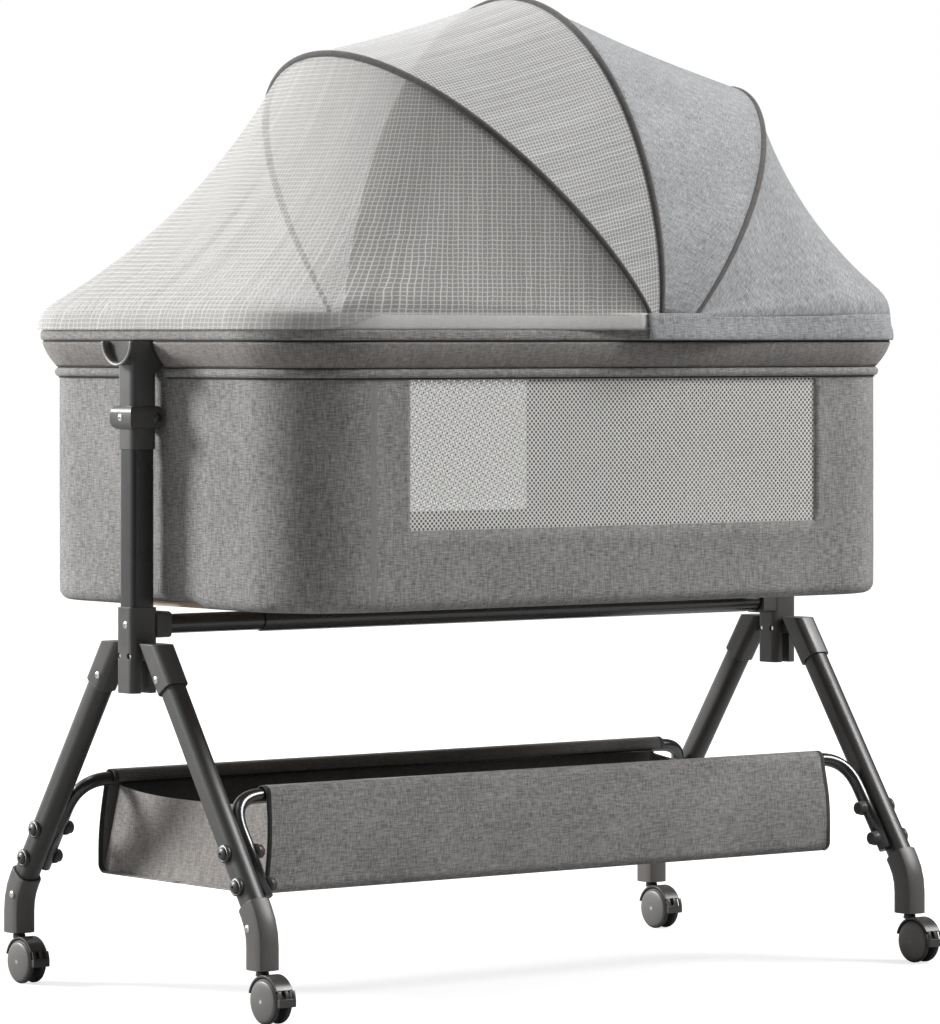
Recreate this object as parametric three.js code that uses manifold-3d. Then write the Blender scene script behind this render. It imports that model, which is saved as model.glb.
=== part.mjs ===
// Wheeled bedside cot: two A-frame stands with casters, a height-adjustable fabric tub with
// mesh windows, a folding net canopy on three hoops and a fabric storage basket.
// Millimetres, +Z up. X runs along the cot, Y across it, the floor is z = 0.
import * as THREE from 'three';
import { mergeVertices } from 'three/addons/utils/BufferGeometryUtils.js';
import Module from 'manifold-3d';

const wasm = await Module();
wasm.setup();

// Shared clearances
const clearance = 0.3;
const overrun = 2;
const fabricGap = 0.4;

// Tub plan
const tubHalfLength = 430;
const tubHalfWidth = 260;
const tubCorner = 100;

// Uprights
const standOffset = 27;
const frameX = tubHalfLength + standOffset;
const postWidthX = 30;
const postWidthY = 27;
const postWall = 1.5;
const postRadius = 6;
const postTop = 700;

// Hubs that join the uprights, the legs and the crossbar
const hubTop = 424;
const hubFloor = 390;
const hubBottom = 332;
const hubWidthX = 35;
const hubWidthY = 31;
const hubRadius = 7;
const hubSlotX = 10.6;
const hubSlotTop = 381;
const bossLength = 17;
const bossWidth = 32;
const bossHeight = 28;
const bossRadius = 5;

// Crossbar of two tubes, one inside the other
const crossbarThinEnd = 163;
const crossbarZ = 405;
const crossbarOuterRadius = 12.5;
const crossbarWall = 1.5;
const crossbarSplitX = crossbarThinEnd - frameX;
const crossbarOverlap = 60;
const crossbarSeat = 10;
const crossbarInnerRadius = crossbarOuterRadius - crossbarWall - clearance;

// Legs: a rectangular tube between a socket at the hub and an elbow foot
const legLean = THREE.MathUtils.degToRad(34);
const legTopY = 36;
const legTopZ = 386;
const legWidthX = 23;
const legWidthY = 26;
const legWall = 1.5;
const legRadius = 8;
const legStart = 16;
const stemY = 230;
const socketWidthX = 28;
const socketWidthY = 30;
const socketRadius = 8;
const socketLength = 57;
const lugWidth = 10;
const lugRadius = 6.5;
const lugHalfHeight = 5;
const pivotY = 9;
const pivotZ = 372;
const pivotRadius = 3;

// Foot elbows
const footWidthX = 29;
const footWidthY = 31;
const footRadius = 9;
const footCollar = 28;
const footBend = 20;
const footBottom = 55;
const footInsert = 10;

// Casters: a hooded body on a swivel stem, twin wheels on one axle, a brake lever
const wheelRadius = 24;
const wheelTread = 3.5;
const wheelFace = 14;
const wheelInner = 5;
const wheelShoulder = 20;
const wheelShoulderX = 11.5;
const wheelDome = 12;
const wheelDomeX = 13.4;
const axleRadius = 2.5;
const trail = 15.5;
const hoodClearance = 0.8;
const hoodWall = 2.6;
const hoodWidth = 21;
const hoodStart = THREE.MathUtils.degToRad(28);
const hoodEnd = THREE.MathUtils.degToRad(165);
const webWidth = 8.8;
const stemRadius = 4;
const stemBossRadius = 6.5;
const stemBossHeight = 5;
const stemDepth = 24;
const stemNeck = 1;
const brakePivotRadius = 1.4;
const brakePivotReach = 18;
const brakePivotAngle = THREE.MathUtils.degToRad(30);
const brakeHub = 3.6;
const brakeArm = 3.2;
const brakeBarHeight = 7;
const brakeBarDepth = 3.6;
const brakeBarWidth = 21;
const brakeSlot = 4;

// Basket rails and their bolts
const railRadius = 7.5;
const railZ = 228;
const railEndZ = 128;
const railBend = 42;
const railBoltZ = [173, 140];
const boltRadius = 3;
const boltHeadRadius = 8;
const boltHeadHeight = 5;
const boltHeadShares = [[1, 0], [0.85, 0.5], [0.4, 1]];
const knobRadius = 8.5;
const knobHeight = 9;

// Basket
const basketEndGap = 62;
const basketHalfLength = frameX - basketEndGap;
const basketBottomZ = 126;
const basketFlare = 7;
const basketBottomHalfLength = basketHalfLength + basketFlare;
const basketBottomHalfWidth = 160;
const basketWall = 3;
const basketEndDrop = 12;
const hemRadius = 10.5;

// Tub heights and walls
const tubBottom = 430;
const tubTop = 710;
const tubWall = 5;
const tubFloor = 4;
const tubTuck = 8;
const tubTuckHeight = 12;
const windowHalfLength = 286;
const windowBottom = 509;
const windowTop = 669;
const cornerSteps = 6;
const boardThickness = 6;
const boardInset = 14;

// Net in the side windows
const netThickness = 1.4;
const netColumns = 12;
const netRows = 5;
const netBar = 4;

// Mattress
const mattressThickness = 42;
const mattressEdge = 10;
const mattressCrown = 9;
const mattressCrownReach = 70;
const mattressCrownShares = [[0, 0], [0.43, 0.6], [1, 1]];
const mattressGap = 4;
const mattressDrawIn = 5;

// Rim: piping, flared band and top roll round the tub
const rimPipingBottom = 671;
const rimPipingOut = 4;
const rimBandBottom = 681;
const rimRollBottom = 711;
const rimRollTop = 722;
const rimOut = 21;
const rimRollIn = 7;
const rimRollEdge = 3;

// Height sleeves on the uprights, with their clamp collars and release pulls
const sleeveWidthX = 33;
const sleeveWidthY = 31;
const sleeveRadius = 7.5;
const sleeveBottom = 594;
const sleeveCap = 3.5;
const sleeveHeadBottom = 684;
const sleeveHeadReach = 8;
const collarBottom = 615;
const collarHeight = 26;
const collarWidthX = 44;
const collarWidthY = 40;
const collarRadius = 8;
const pullHalfWidth = 27;
const pullDrop = 26;
const pullSteps = 12;
const pullDepth = 10;
const pullWall = 2.5;
const pullBack = 2;
const pullNoseRadius = 3;
const pullNoseZ = 700;

// Canopy hoops: half ellipses about one pivot axis across the rim. The rear hoop's feet stand
// behind that axis, on slanted arms.
const hoopPivotX = 43;
const hoopPivotZ = 724;
const hoopRadius = 4;
const hoopStart = 40;
const hoopSteps = 20;
const hoopSides = 6;
const hoopLugThickness = 2.5;
const hoopLugRadius = 8;
const hoopArmWidth = 8;
const hoopArmOverlap = 6;
const hoopHoleRadius = 3.3;
const hoopPinRadius = 3;
const hoopPinHeadRadius = 5.5;
const hoopPinHead = 2;
const bracketPlate = 3;
const bracketRadius = 13;
const bracketFlange = 2.5;
const bracketFlangeReach = 26;
const bracketFlangeHalfWidth = 10.5;
const rearHoopFoot = 31;
const rearHoopHeight = 419;
const midHoopHeight = 373;
const frontHoopHeight = 395;
const rearCurveShare = 1.3;
const midCurveShare = 1.04;
const frontCurveShare = 1;
const hoops = {
  rear: {
    angle: THREE.MathUtils.degToRad(42),
    height: rearHoopHeight,
    footX: rearHoopFoot,
    lane: 0,
    curveShare: rearCurveShare,
  },
  mid: {
    angle: THREE.MathUtils.degToRad(89),
    height: midHoopHeight,
    footX: 0,
    lane: 1,
    curveShare: midCurveShare,
  },
  front: {
    angle: THREE.MathUtils.degToRad(129.9),
    height: frontHoopHeight,
    footX: 0,
    lane: 2,
    curveShare: frontCurveShare,
  },
};

// Canopy cloth
const clothThickness = 1.2;
const clothStart = 58;
const clothColumns = 18;
const frontNetSag = 30;
const rearHoodSag = 8;
const hemRise = 14;

// Materials
const charcoal = new THREE.MeshStandardMaterial({ color: 0x5a5856, roughness: 0.55 });
const blackTube = new THREE.MeshStandardMaterial({ color: 0x232323, roughness: 0.35, metalness: 0.4 });
const steel = new THREE.MeshStandardMaterial({ color: 0xb8b8b8, roughness: 0.3, metalness: 0.9 });
const casterGrey = new THREE.MeshStandardMaterial({ color: 0x4a4947, roughness: 0.5 });
const greyFabric = new THREE.MeshStandardMaterial({ color: 0x8b8785, roughness: 0.95 });
const paleNet = new THREE.MeshStandardMaterial({ color: 0xd8d4cf, roughness: 0.9 });
const darkPiping = new THREE.MeshStandardMaterial({ color: 0x4b4846, roughness: 0.8 });
const plywood = new THREE.MeshStandardMaterial({ color: 0xa8845f, roughness: 0.8 });
const whiteCotton = new THREE.MeshStandardMaterial({ color: 0xe9e6e0, roughness: 0.95 });

const model = new THREE.Group();

// Names a mesh, gives it its material and adds it to a group.
function addPiece(group, name, geometry, material) {
  const mesh = new THREE.Mesh(geometry, material);
  mesh.name = name;
  group.add(mesh);
  return mesh;
}

// Merges a geometry's corners and hands it to the solid library.
function solidOf(geometry) {
  const bare = geometry.index ? geometry.toNonIndexed() : geometry.clone();
  bare.deleteAttribute('normal');
  bare.deleteAttribute('uv');
  const merged = mergeVertices(bare, 1e-4);
  return new wasm.Manifold(new wasm.Mesh({
    numProp: 3,
    vertProperties: new Float32Array(merged.attributes.position.array),
    triVerts: new Uint32Array(merged.index.array),
  }));
}

// Turns a solid back into a geometry.
function geometryOf(solid) {
  const mesh = solid.getMesh();
  const geometry = new THREE.BufferGeometry();
  geometry.setAttribute('position', new THREE.BufferAttribute(new Float32Array(mesh.vertProperties), 3));
  geometry.setIndex(new THREE.BufferAttribute(new Uint32Array(mesh.triVerts), 1));
  geometry.computeVertexNormals();
  return geometry;
}

function joined(...geometries) {
  return geometryOf(geometries.map(solidOf).reduce((whole, next) => whole.add(next)));
}

function cutBy(geometry, ...tools) {
  return geometryOf(tools.map(solidOf).reduce((whole, next) => whole.subtract(next), solidOf(geometry)));
}

function common(geometry, other) {
  return geometryOf(solidOf(geometry).intersect(solidOf(other)));
}

// A closed geometry from corner positions and triangles, turned so that its faces point out.
function closedGeometry(points, triangles) {
  const volume = triangles.reduce((sum, [a, b, c]) => (
    sum + points[a].dot(new THREE.Vector3().crossVectors(points[b], points[c]))
  ), 0);
  const facing = volume < 0 ? triangles.map(([a, b, c]) => [a, c, b]) : triangles;
  const geometry = new THREE.BufferGeometry().setFromPoints(points);
  geometry.setIndex(facing.flat());
  geometry.computeVertexNormals();
  return geometry;
}

// Skin between rings of equally many points. The ends are capped by fans, or meet when looped.
function loft(rings, looped = false) {
  const count = rings[0].length;
  const points = rings.flat();
  const triangles = [];
  const bands = looped ? rings.length : rings.length - 1;
  for (let band = 0; band < bands; band += 1) {
    const low = band * count;
    const high = ((band + 1) % rings.length) * count;
    for (let i = 0; i < count; i += 1) {
      const next = (i + 1) % count;
      triangles.push([low + i, low + next, high + next], [low + i, high + next, high + i]);
    }
  }
  if (!looped) {
    [0, rings.length - 1].forEach((end) => {
      const centre = points.length;
      const ring = rings[end];
      const sum = ring.reduce((total, point) => total.add(point), new THREE.Vector3());
      points.push(sum.divideScalar(count));
      for (let i = 0; i < count; i += 1) {
        const corner = [end * count + i, end * count + ((i + 1) % count), centre];
        triangles.push(end === 0 ? [corner[1], corner[0], corner[2]] : corner);
      }
    });
  }
  return closedGeometry(points, triangles);
}

// A rounded rectangle as points, counter-clockwise, centred on the origin.
function roundedRectangle(width, height, radius, steps) {
  const points = [];
  const reachX = width / 2 - radius;
  const reachY = height / 2 - radius;
  [[1, 1], [-1, 1], [-1, -1], [1, -1]].forEach(([sideX, sideY], corner) => {
    for (let i = 0; i <= steps; i += 1) {
      const angle = ((corner + i / steps) * Math.PI) / 2;
      points.push(new THREE.Vector2(
        sideX * reachX + radius * Math.cos(angle),
        sideY * reachY + radius * Math.sin(angle),
      ));
    }
  });
  return points;
}

function circle(radius, sides) {
  return Array.from({ length: sides }, (_, i) => (
    new THREE.Vector2(radius * Math.cos((2 * Math.PI * i) / sides), radius * Math.sin((2 * Math.PI * i) / sides))
  ));
}

// An outline extruded along +Z from low to high, with optional holes.
function prism(outline, low, high, holes = []) {
  const shape = new THREE.Shape(outline);
  shape.holes = holes.map((hole) => new THREE.Path(hole));
  const geometry = new THREE.ExtrudeGeometry(shape, { depth: high - low, bevelEnabled: false, steps: 1 });
  return geometry.translate(0, 0, low);
}

// A prism whose outline lies in the YZ plane, extruded along X about the middle plane.
function prismX(outlineYZ, low, high, holes = []) {
  return prism(outlineYZ, low, high, holes).rotateY(Math.PI / 2).rotateX(Math.PI / 2);
}

// A round bar along X between two places.
function barX(radius, low, high, y, z, sides) {
  return prismX(circle(radius, sides), low, high).translate(0, y, z);
}

// A round bar along Y between two places.
function barY(radius, low, high, x, z, sides) {
  return prism(circle(radius, sides), low, high).rotateX(-Math.PI / 2).translate(x, 0, z);
}

// A round bar along Z between two heights.
function barZ(radius, low, high, x, y, sides) {
  return prism(circle(radius, sides), low, high).translate(x, y, 0);
}

function block(lowX, highX, lowY, highY, lowZ, highZ) {
  return new THREE.BoxGeometry(highX - lowX, highY - lowY, highZ - lowZ)
    .translate((lowX + highX) / 2, (lowY + highY) / 2, (lowZ + highZ) / 2);
}

// A section carried along a path that lies in one plane. The section's x follows the plane's
// normal and its y lies in the plane.
function sweep(path, normal, section) {
  const rings = path.map((point, i) => {
    const before = path[Math.max(i - 1, 0)];
    const after = path[Math.min(i + 1, path.length - 1)];
    const tangent = new THREE.Vector3().subVectors(after, before).normalize();
    const side = new THREE.Vector3().crossVectors(tangent, normal).normalize();
    return section.map((corner) => (
      point.clone().addScaledVector(normal, corner.x).addScaledVector(side, corner.y)
    ));
  });
  return loft(rings);
}

// Points round a bend between two straight runs, by a quadratic curve.
function bend(start, corner, end, steps) {
  return new THREE.QuadraticBezierCurve3(start, corner, end).getPoints(steps);
}

// A point on a leg's axis, at a distance down from its top, for the leg that runs towards -Y.
function legPoint(distance) {
  return new THREE.Vector3(
    0,
    -legTopY - distance * Math.sin(legLean),
    legTopZ - distance * Math.cos(legLean),
  );
}

// Carries a geometry built along -Z from the origin onto the leg's axis.
function alongLeg(geometry) {
  return geometry.rotateX(-legLean).translate(0, -legTopY, legTopZ);
}

const stemDistance = (stemY - legTopY) / Math.sin(legLean);
const legEnd = stemDistance - footInsert;

function legSection(grow, steps) {
  return roundedRectangle(legWidthX + 2 * grow, legWidthY + 2 * grow, legRadius + grow, steps);
}

// The hub: a sleeve for the upright, two cheeks for the legs' lugs and a boss for the crossbar.
function hub(crossbarRadius) {
  const body = prism(roundedRectangle(hubWidthX, hubWidthY, hubRadius, 3), hubBottom, hubTop);
  const socket = prism(
    roundedRectangle(postWidthX + 2 * clearance, postWidthY + 2 * clearance, postRadius + clearance, 3),
    hubFloor,
    hubTop + overrun,
  );
  const slot = block(
    -hubSlotX / 2,
    hubSlotX / 2,
    -hubWidthY / 2 - overrun,
    hubWidthY / 2 + overrun,
    hubBottom - overrun,
    hubSlotTop,
  );
  const bossStart = hubWidthX / 2 - overrun;
  const bossEnd = hubWidthX / 2 + bossLength;
  const boss = prismX(roundedRectangle(bossWidth, bossHeight, bossRadius, 2), bossStart, bossEnd)
    .translate(0, 0, crossbarZ);
  const bossBore = barX(
    crossbarRadius + clearance,
    bossEnd - crossbarSeat,
    bossEnd + overrun,
    0,
    crossbarZ,
    16,
  );
  const pinHoles = [-pivotY, pivotY].map((y) => (
    barX(pivotRadius + clearance / 2, -hubWidthX, hubWidthX, y, pivotZ, 12)
  ));
  return cutBy(joined(body, boss), socket, slot, bossBore, ...pinHoles);
}

// A pivot pin through both cheeks and one leg's lug.
function pivotPin() {
  return barX(pivotRadius, -hubWidthX / 2 + overrun, hubWidthX / 2 - overrun, 0, 0, 12);
}

function postTube() {
  const outer = roundedRectangle(postWidthX, postWidthY, postRadius, 3);
  const inner = roundedRectangle(
    postWidthX - 2 * postWall,
    postWidthY - 2 * postWall,
    postRadius - postWall,
    3,
  );
  return prism(outer, hubFloor + clearance, postTop, [inner]);
}

// A leg's socket: slanted shell with a flat top, a bore for the tube and a lug for the pin.
function legSocket() {
  const shell = alongLeg(prism(
    roundedRectangle(socketWidthX, socketWidthY, socketRadius, 3),
    -socketLength,
    socketWidthY,
  ));
  const above = block(
    -socketWidthX,
    socketWidthX,
    -legTopY - 2 * socketWidthY,
    -legTopY + 2 * socketWidthY,
    legTopZ,
    legTopZ + 2 * socketLength,
  );
  const lug = joined(
    barX(lugRadius, -lugWidth / 2, lugWidth / 2, -pivotY, pivotZ, 12),
    block(
      -lugWidth / 2,
      lugWidth / 2,
      -legTopY,
      -pivotY,
      pivotZ - lugHalfHeight,
      pivotZ + lugHalfHeight,
    ),
  );
  const bore = alongLeg(prism(legSection(clearance, 2), -socketLength - overrun, -legStart + clearance));
  const pinHole = barX(pivotRadius + clearance, -lugWidth, lugWidth, -pivotY, pivotZ, 12);
  return cutBy(joined(cutBy(shell, above), lug), bore, pinHole);
}

// Where a rail bolt crosses a leg's axis.
function boltPlace(z) {
  return new THREE.Vector3(0, -legTopY - (legTopZ - z) * Math.tan(legLean), z);
}

function legTube() {
  const tube = alongLeg(prism(legSection(0, 2), -legEnd, -legStart, [legSection(-legWall, 2)]));
  const holes = railBoltZ.map((z) => {
    const place = boltPlace(z);
    return barX(boltRadius + clearance, -legWidthX, legWidthX, place.y, place.z, 8);
  });
  return cutBy(tube, ...holes);
}

// A foot: an elbow from the leg's slant to the vertical caster stem.
function footElbow() {
  const corner = legPoint(stemDistance);
  const path = [
    legPoint(stemDistance - footCollar),
    ...bend(legPoint(stemDistance - footBend), corner, new THREE.Vector3(0, -stemY, corner.z - footBend), 3),
    new THREE.Vector3(0, -stemY, footBottom),
  ];
  const section = roundedRectangle(footWidthX, footWidthY, footRadius, 2);
  const elbow = sweep(path, new THREE.Vector3(1, 0, 0), section);
  const tubeBore = alongLeg(prism(legSection(clearance, 2), -legEnd - clearance, -legStart));
  const stemBore = barZ(
    stemRadius + clearance,
    footBottom - overrun,
    footBottom + stemDepth + clearance,
    0,
    -stemY,
    12,
  );
  return cutBy(elbow, tubeBore, stemBore);
}

// Casters stand with the axle below and behind the stem. The origin is the stem's foot point.
function casterBody() {
  const hoodInner = wheelRadius + hoodClearance;
  const hoodOuter = hoodInner + hoodWall;
  const arc = (radius, from, to, steps) => Array.from({ length: steps + 1 }, (_, i) => {
    const angle = from + ((to - from) * i) / steps;
    return new THREE.Vector2(-radius * Math.cos(angle), radius * Math.sin(angle));
  });
  const hoodOutline = [...arc(hoodOuter, hoodStart, hoodEnd, 7), ...arc(hoodInner, hoodEnd, hoodStart, 7)];
  const hood = prismX(hoodOutline, -hoodWidth / 2, hoodWidth / 2);
  const webOutline = [
    ...arc(hoodInner + hoodWall / 2, hoodStart, hoodEnd, 7),
    ...arc(3 * axleRadius, Math.PI, 2 * Math.PI, 5),
  ];
  const web = prismX(webOutline, -webWidth / 2, webWidth / 2);
  const shoulder = footBottom - stemNeck - wheelRadius;
  const boss = barZ(stemBossRadius, shoulder - stemBossHeight, shoulder, 0, trail, 10);
  const stem = barZ(
    stemRadius,
    shoulder - stemBossHeight,
    footBottom + stemDepth - wheelRadius,
    0,
    trail,
    12,
  );
  const axleHole = barX(axleRadius + clearance, -webWidth, webWidth, 0, 0, 12);
  const pin = brakePivot();
  const slot = prismX([
    new THREE.Vector2(-2 * wheelRadius, -wheelRadius),
    new THREE.Vector2(pin.x + brakeHub + 2 * clearance, -wheelRadius),
    new THREE.Vector2(pin.x + brakeHub + 2 * clearance, pin.y + brakeHub + 2 * clearance),
    new THREE.Vector2(-2 * wheelRadius, pin.y + brakeHub + 2 * clearance),
  ], -brakeSlot / 2, brakeSlot / 2);
  const body = cutBy(joined(hood, web, boss, stem), axleHole, slot);
  const pivot = barX(brakePivotRadius, -webWidth / 2 + clearance, webWidth / 2 - clearance, pin.x, pin.y, 8);
  return joined(body, pivot).translate(0, -trail, wheelRadius);
}

// The brake lever's pin, from the axle, in the wheel's plane.
function brakePivot() {
  return new THREE.Vector2(
    -brakePivotReach * Math.cos(brakePivotAngle),
    brakePivotReach * Math.sin(brakePivotAngle),
  );
}

function brakeLever() {
  const pin = brakePivot();
  const barInner = -(wheelRadius + hoodClearance);
  const barOuter = barInner - brakeBarDepth;
  const hubDisc = circle(brakeHub, 12).map((corner) => corner.add(pin));
  const disc = prismX(hubDisc, -brakeArm / 2, brakeArm / 2);
  const arm = prismX([
    new THREE.Vector2(pin.x - brakeHub / 2, pin.y + brakeHub / 2),
    new THREE.Vector2(barOuter, brakeBarHeight / 2),
    new THREE.Vector2(barOuter, -brakeBarHeight / 2),
    new THREE.Vector2(barInner, -brakeBarHeight / 2),
    new THREE.Vector2(pin.x + brakeHub / 2, pin.y - brakeHub / 2),
  ], -brakeArm / 2, brakeArm / 2);
  const bar = block(
    -brakeBarWidth / 2,
    brakeBarWidth / 2,
    barOuter,
    barInner,
    -brakeBarHeight / 2,
    brakeBarHeight / 2,
  );
  const pinHole = barX(brakePivotRadius + clearance, -brakeArm, brakeArm, pin.x, pin.y, 8);
  return cutBy(joined(disc, arm, bar), pinHole).translate(0, -trail, wheelRadius);
}

// Two wheels on one axle, turned about X.
function wheelPair() {
  const half = [
    [0, wheelFace],
    [wheelDome, wheelDomeX],
    [wheelShoulder, wheelShoulderX],
    [wheelRadius, wheelInner + wheelTread],
    [wheelRadius, wheelInner],
    [axleRadius, wheelInner],
  ];
  const profile = [
    ...half.map(([radius, x]) => new THREE.Vector2(radius, -x)),
    ...half.reverse().map(([radius, x]) => new THREE.Vector2(radius, x)),
  ];
  const wheel = new THREE.LatheGeometry(profile, 20);
  return geometryOf(solidOf(wheel)).rotateZ(-Math.PI / 2).translate(0, -trail, wheelRadius);
}

// One basket rail: a level run whose ends turn down beside the legs, with its bolts and knobs.
function basketRail() {
  const endX = frameX - legWidthX / 2 - railRadius - clearance;
  const lean = new THREE.Vector3(0, -Math.sin(legLean), -Math.cos(legLean));
  const onLeg = (x, z) => boltPlace(z).setX(x);
  const turn = (side) => {
    const corner = onLeg(side * endX, railZ);
    return bend(
      onLeg(side * (endX - railBend), railZ),
      corner,
      corner.clone().addScaledVector(lean, railBend),
      5,
    );
  };
  const path = [
    onLeg(-endX, railEndZ),
    ...turn(-1).reverse(),
    ...turn(1),
    onLeg(endX, railEndZ),
  ];
  const normal = new THREE.Vector3(1, 0, 0).cross(lean).normalize();
  const tube = sweep(path, normal, circle(railRadius, 8));
  const bolts = [-1, 1].flatMap((side) => railBoltZ.map((z) => railBolt(side, boltPlace(z))));
  return joined(tube, ...bolts);
}

// A dome-headed bolt through leg and rail with a knob on its inner end.
function railBolt(side, place) {
  const headX = frameX + legWidthX / 2 + clearance;
  const innerX = frameX - legWidthX / 2 - 2 * railRadius - clearance;
  const shank = barX(boltRadius, innerX - overrun, headX + overrun, 0, 0, 8);
  const head = loft(boltHeadShares.map(([across, along]) => (
    circle(boltHeadRadius * across, 8).map((corner) => (
      new THREE.Vector3(headX + boltHeadHeight * along, corner.x, corner.y)
    ))
  )));
  const knob = barX(knobRadius, innerX - knobHeight, innerX + overrun, 0, 0, 8);
  const bolt = joined(shank, head, knob);
  if (side < 0) {
    bolt.rotateZ(Math.PI);
  }
  return bolt.translate(0, place.y, place.z);
}

// A closed plan curve: the tub's rounded rectangle, grown outwards.
function tubPlan(grow) {
  return roundedRectangle(
    2 * (tubHalfLength + grow),
    2 * (tubHalfWidth + grow),
    tubCorner + grow,
    cornerSteps,
  );
}

function planRing(grow, z) {
  return tubPlan(grow).map((corner) => new THREE.Vector3(corner.x, corner.y, z));
}

// The fabric tub: floor and walls in one, open at the top, with a window in each long side.
function tubShell() {
  const outside = [
    planRing(-tubTuck, tubBottom),
    planRing(-tubTuck / 3, tubBottom + tubTuckHeight / 3),
    planRing(0, tubBottom + tubTuckHeight),
    planRing(0, tubTop),
  ];
  const inside = [
    planRing(-tubWall, tubTop),
    planRing(-tubWall, tubBottom + tubTuckHeight),
    planRing(-tubTuck - tubWall, tubBottom + tubFloor),
  ];
  const windowCut = block(
    -windowHalfLength,
    windowHalfLength,
    -tubHalfWidth - overrun,
    tubHalfWidth + overrun,
    windowBottom,
    windowTop,
  );
  return cutBy(loft([...outside, ...inside]), windowCut);
}

// A side window's net: a thin sheet with rows of square gaps.
function windowNet() {
  const width = 2 * (windowHalfLength - clearance);
  const height = windowTop - windowBottom - 2 * clearance;
  const pitchX = (width - netBar) / netColumns;
  const pitchZ = (height - netBar) / netRows;
  const gaps = [];
  for (let column = 0; column < netColumns; column += 1) {
    for (let row = 0; row < netRows; row += 1) {
      const left = -width / 2 + netBar + column * pitchX;
      const low = -height / 2 + netBar + row * pitchZ;
      gaps.push(block(left, left + pitchX - netBar, -overrun, overrun, low, low + pitchZ - netBar));
    }
  }
  const sheet = block(-width / 2, width / 2, -netThickness / 2, netThickness / 2, -height / 2, height / 2);
  return cutBy(sheet, ...gaps).translate(0, 0, (windowBottom + windowTop) / 2);
}

function floorBoard() {
  return prism(tubPlan(-boardInset), tubBottom - clearance - boardThickness, tubBottom - clearance);
}

// A mattress with a crowned top and sides drawn in between its corners.
function mattress() {
  const low = tubBottom + tubFloor + clearance;
  const grow = -tubTuck - tubWall - mattressGap;
  const level = (inset, z) => tubPlan(grow - inset).map((corner) => {
    const pull = mattressDrawIn * Math.cos((Math.PI * corner.x) / (2 * tubHalfLength))
      * Math.abs(corner.y / tubHalfWidth);
    return new THREE.Vector3(corner.x, corner.y - Math.sign(corner.y) * pull, z);
  });
  const crown = mattressCrownShares.map(([inset, rise]) => (
    level(mattressEdge + inset * mattressCrownReach, low + mattressThickness + rise * mattressCrown)
  ));
  return loft([
    level(mattressEdge, low),
    level(0, low + mattressEdge),
    level(0, low + mattressThickness - mattressEdge),
    ...crown,
  ]);
}

// The rim: a ring round the tub's top edge, whose section has piping, flare and roll.
function rimRing() {
  const section = [
    [clearance, rimPipingBottom],
    [rimPipingOut, rimPipingBottom],
    [rimPipingOut, rimBandBottom],
    [rimOut, rimRollBottom],
    [rimOut, rimRollTop - rimRollEdge],
    [rimOut - rimRollEdge, rimRollTop],
    [rimRollEdge - rimRollIn, rimRollTop],
    [-rimRollIn, rimRollTop - rimRollEdge],
    [-rimRollIn, tubTop + clearance],
    [clearance, tubTop + clearance],
  ];
  const ring = loft(section.map(([grow, z]) => planRing(grow, z)), true);
  const notches = [-1, 1].map((side) => {
    const inner = frameX - sleeveWidthX / 2 - sleeveHeadReach - clearance;
    return block(
      side > 0 ? inner : -frameX - sleeveWidthX,
      side > 0 ? frameX + sleeveWidthX : -inner,
      -sleeveWidthY / 2 - clearance,
      sleeveWidthY / 2 + clearance,
      rimPipingBottom - overrun,
      tubTop + clearance,
    );
  });
  return cutBy(ring, ...notches);
}

// A height sleeve: closed on top, with a head that reaches in under the rim. The tub lies
// towards +X of it.
function heightSleeve() {
  const body = prism(roundedRectangle(sleeveWidthX, sleeveWidthY, sleeveRadius, 3), sleeveBottom, tubTop);
  const headEnd = sleeveWidthX / 2 + sleeveHeadReach;
  const head = prismY([
    new THREE.Vector2(0, sleeveHeadBottom - sleeveHeadReach),
    new THREE.Vector2(headEnd - sleeveHeadReach, sleeveHeadBottom - sleeveHeadReach),
    new THREE.Vector2(headEnd, sleeveHeadBottom),
    new THREE.Vector2(headEnd, tubTop),
    new THREE.Vector2(0, tubTop),
  ], -sleeveWidthY / 2, sleeveWidthY / 2);
  const bore = prism(
    roundedRectangle(postWidthX + 2 * clearance, postWidthY + 2 * clearance, postRadius + clearance, 3),
    sleeveBottom - overrun,
    tubTop - sleeveCap,
  );
  const noseHole = barX(
    pullNoseRadius + clearance,
    -sleeveWidthX,
    0,
    0,
    pullNoseZ,
    12,
  );
  return cutBy(joined(body, head), bore, noseHole);
}

// A prism whose outline lies in the XZ plane, extruded along Y.
function prismY(outlineXZ, low, high) {
  return prism(outlineXZ, -high, -low).rotateX(Math.PI / 2);
}

// A clamp collar round the sleeve, with rounded ends in both side views.
function clampCollar() {
  const middle = collarBottom + collarHeight / 2;
  const across = prismX(
    roundedRectangle(collarWidthY, collarHeight, collarRadius, 3),
    -collarWidthX / 2,
    collarWidthX / 2,
  );
  const along = prismY(
    roundedRectangle(collarWidthX, collarHeight, collarRadius, 3),
    -collarWidthY / 2,
    collarWidthY / 2,
  );
  const bore = prism(
    roundedRectangle(sleeveWidthX + 2 * clearance, sleeveWidthY + 2 * clearance, sleeveRadius, 3),
    -collarHeight,
    collarHeight,
  );
  return cutBy(common(across, along), bore).translate(0, 0, middle);
}

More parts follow.
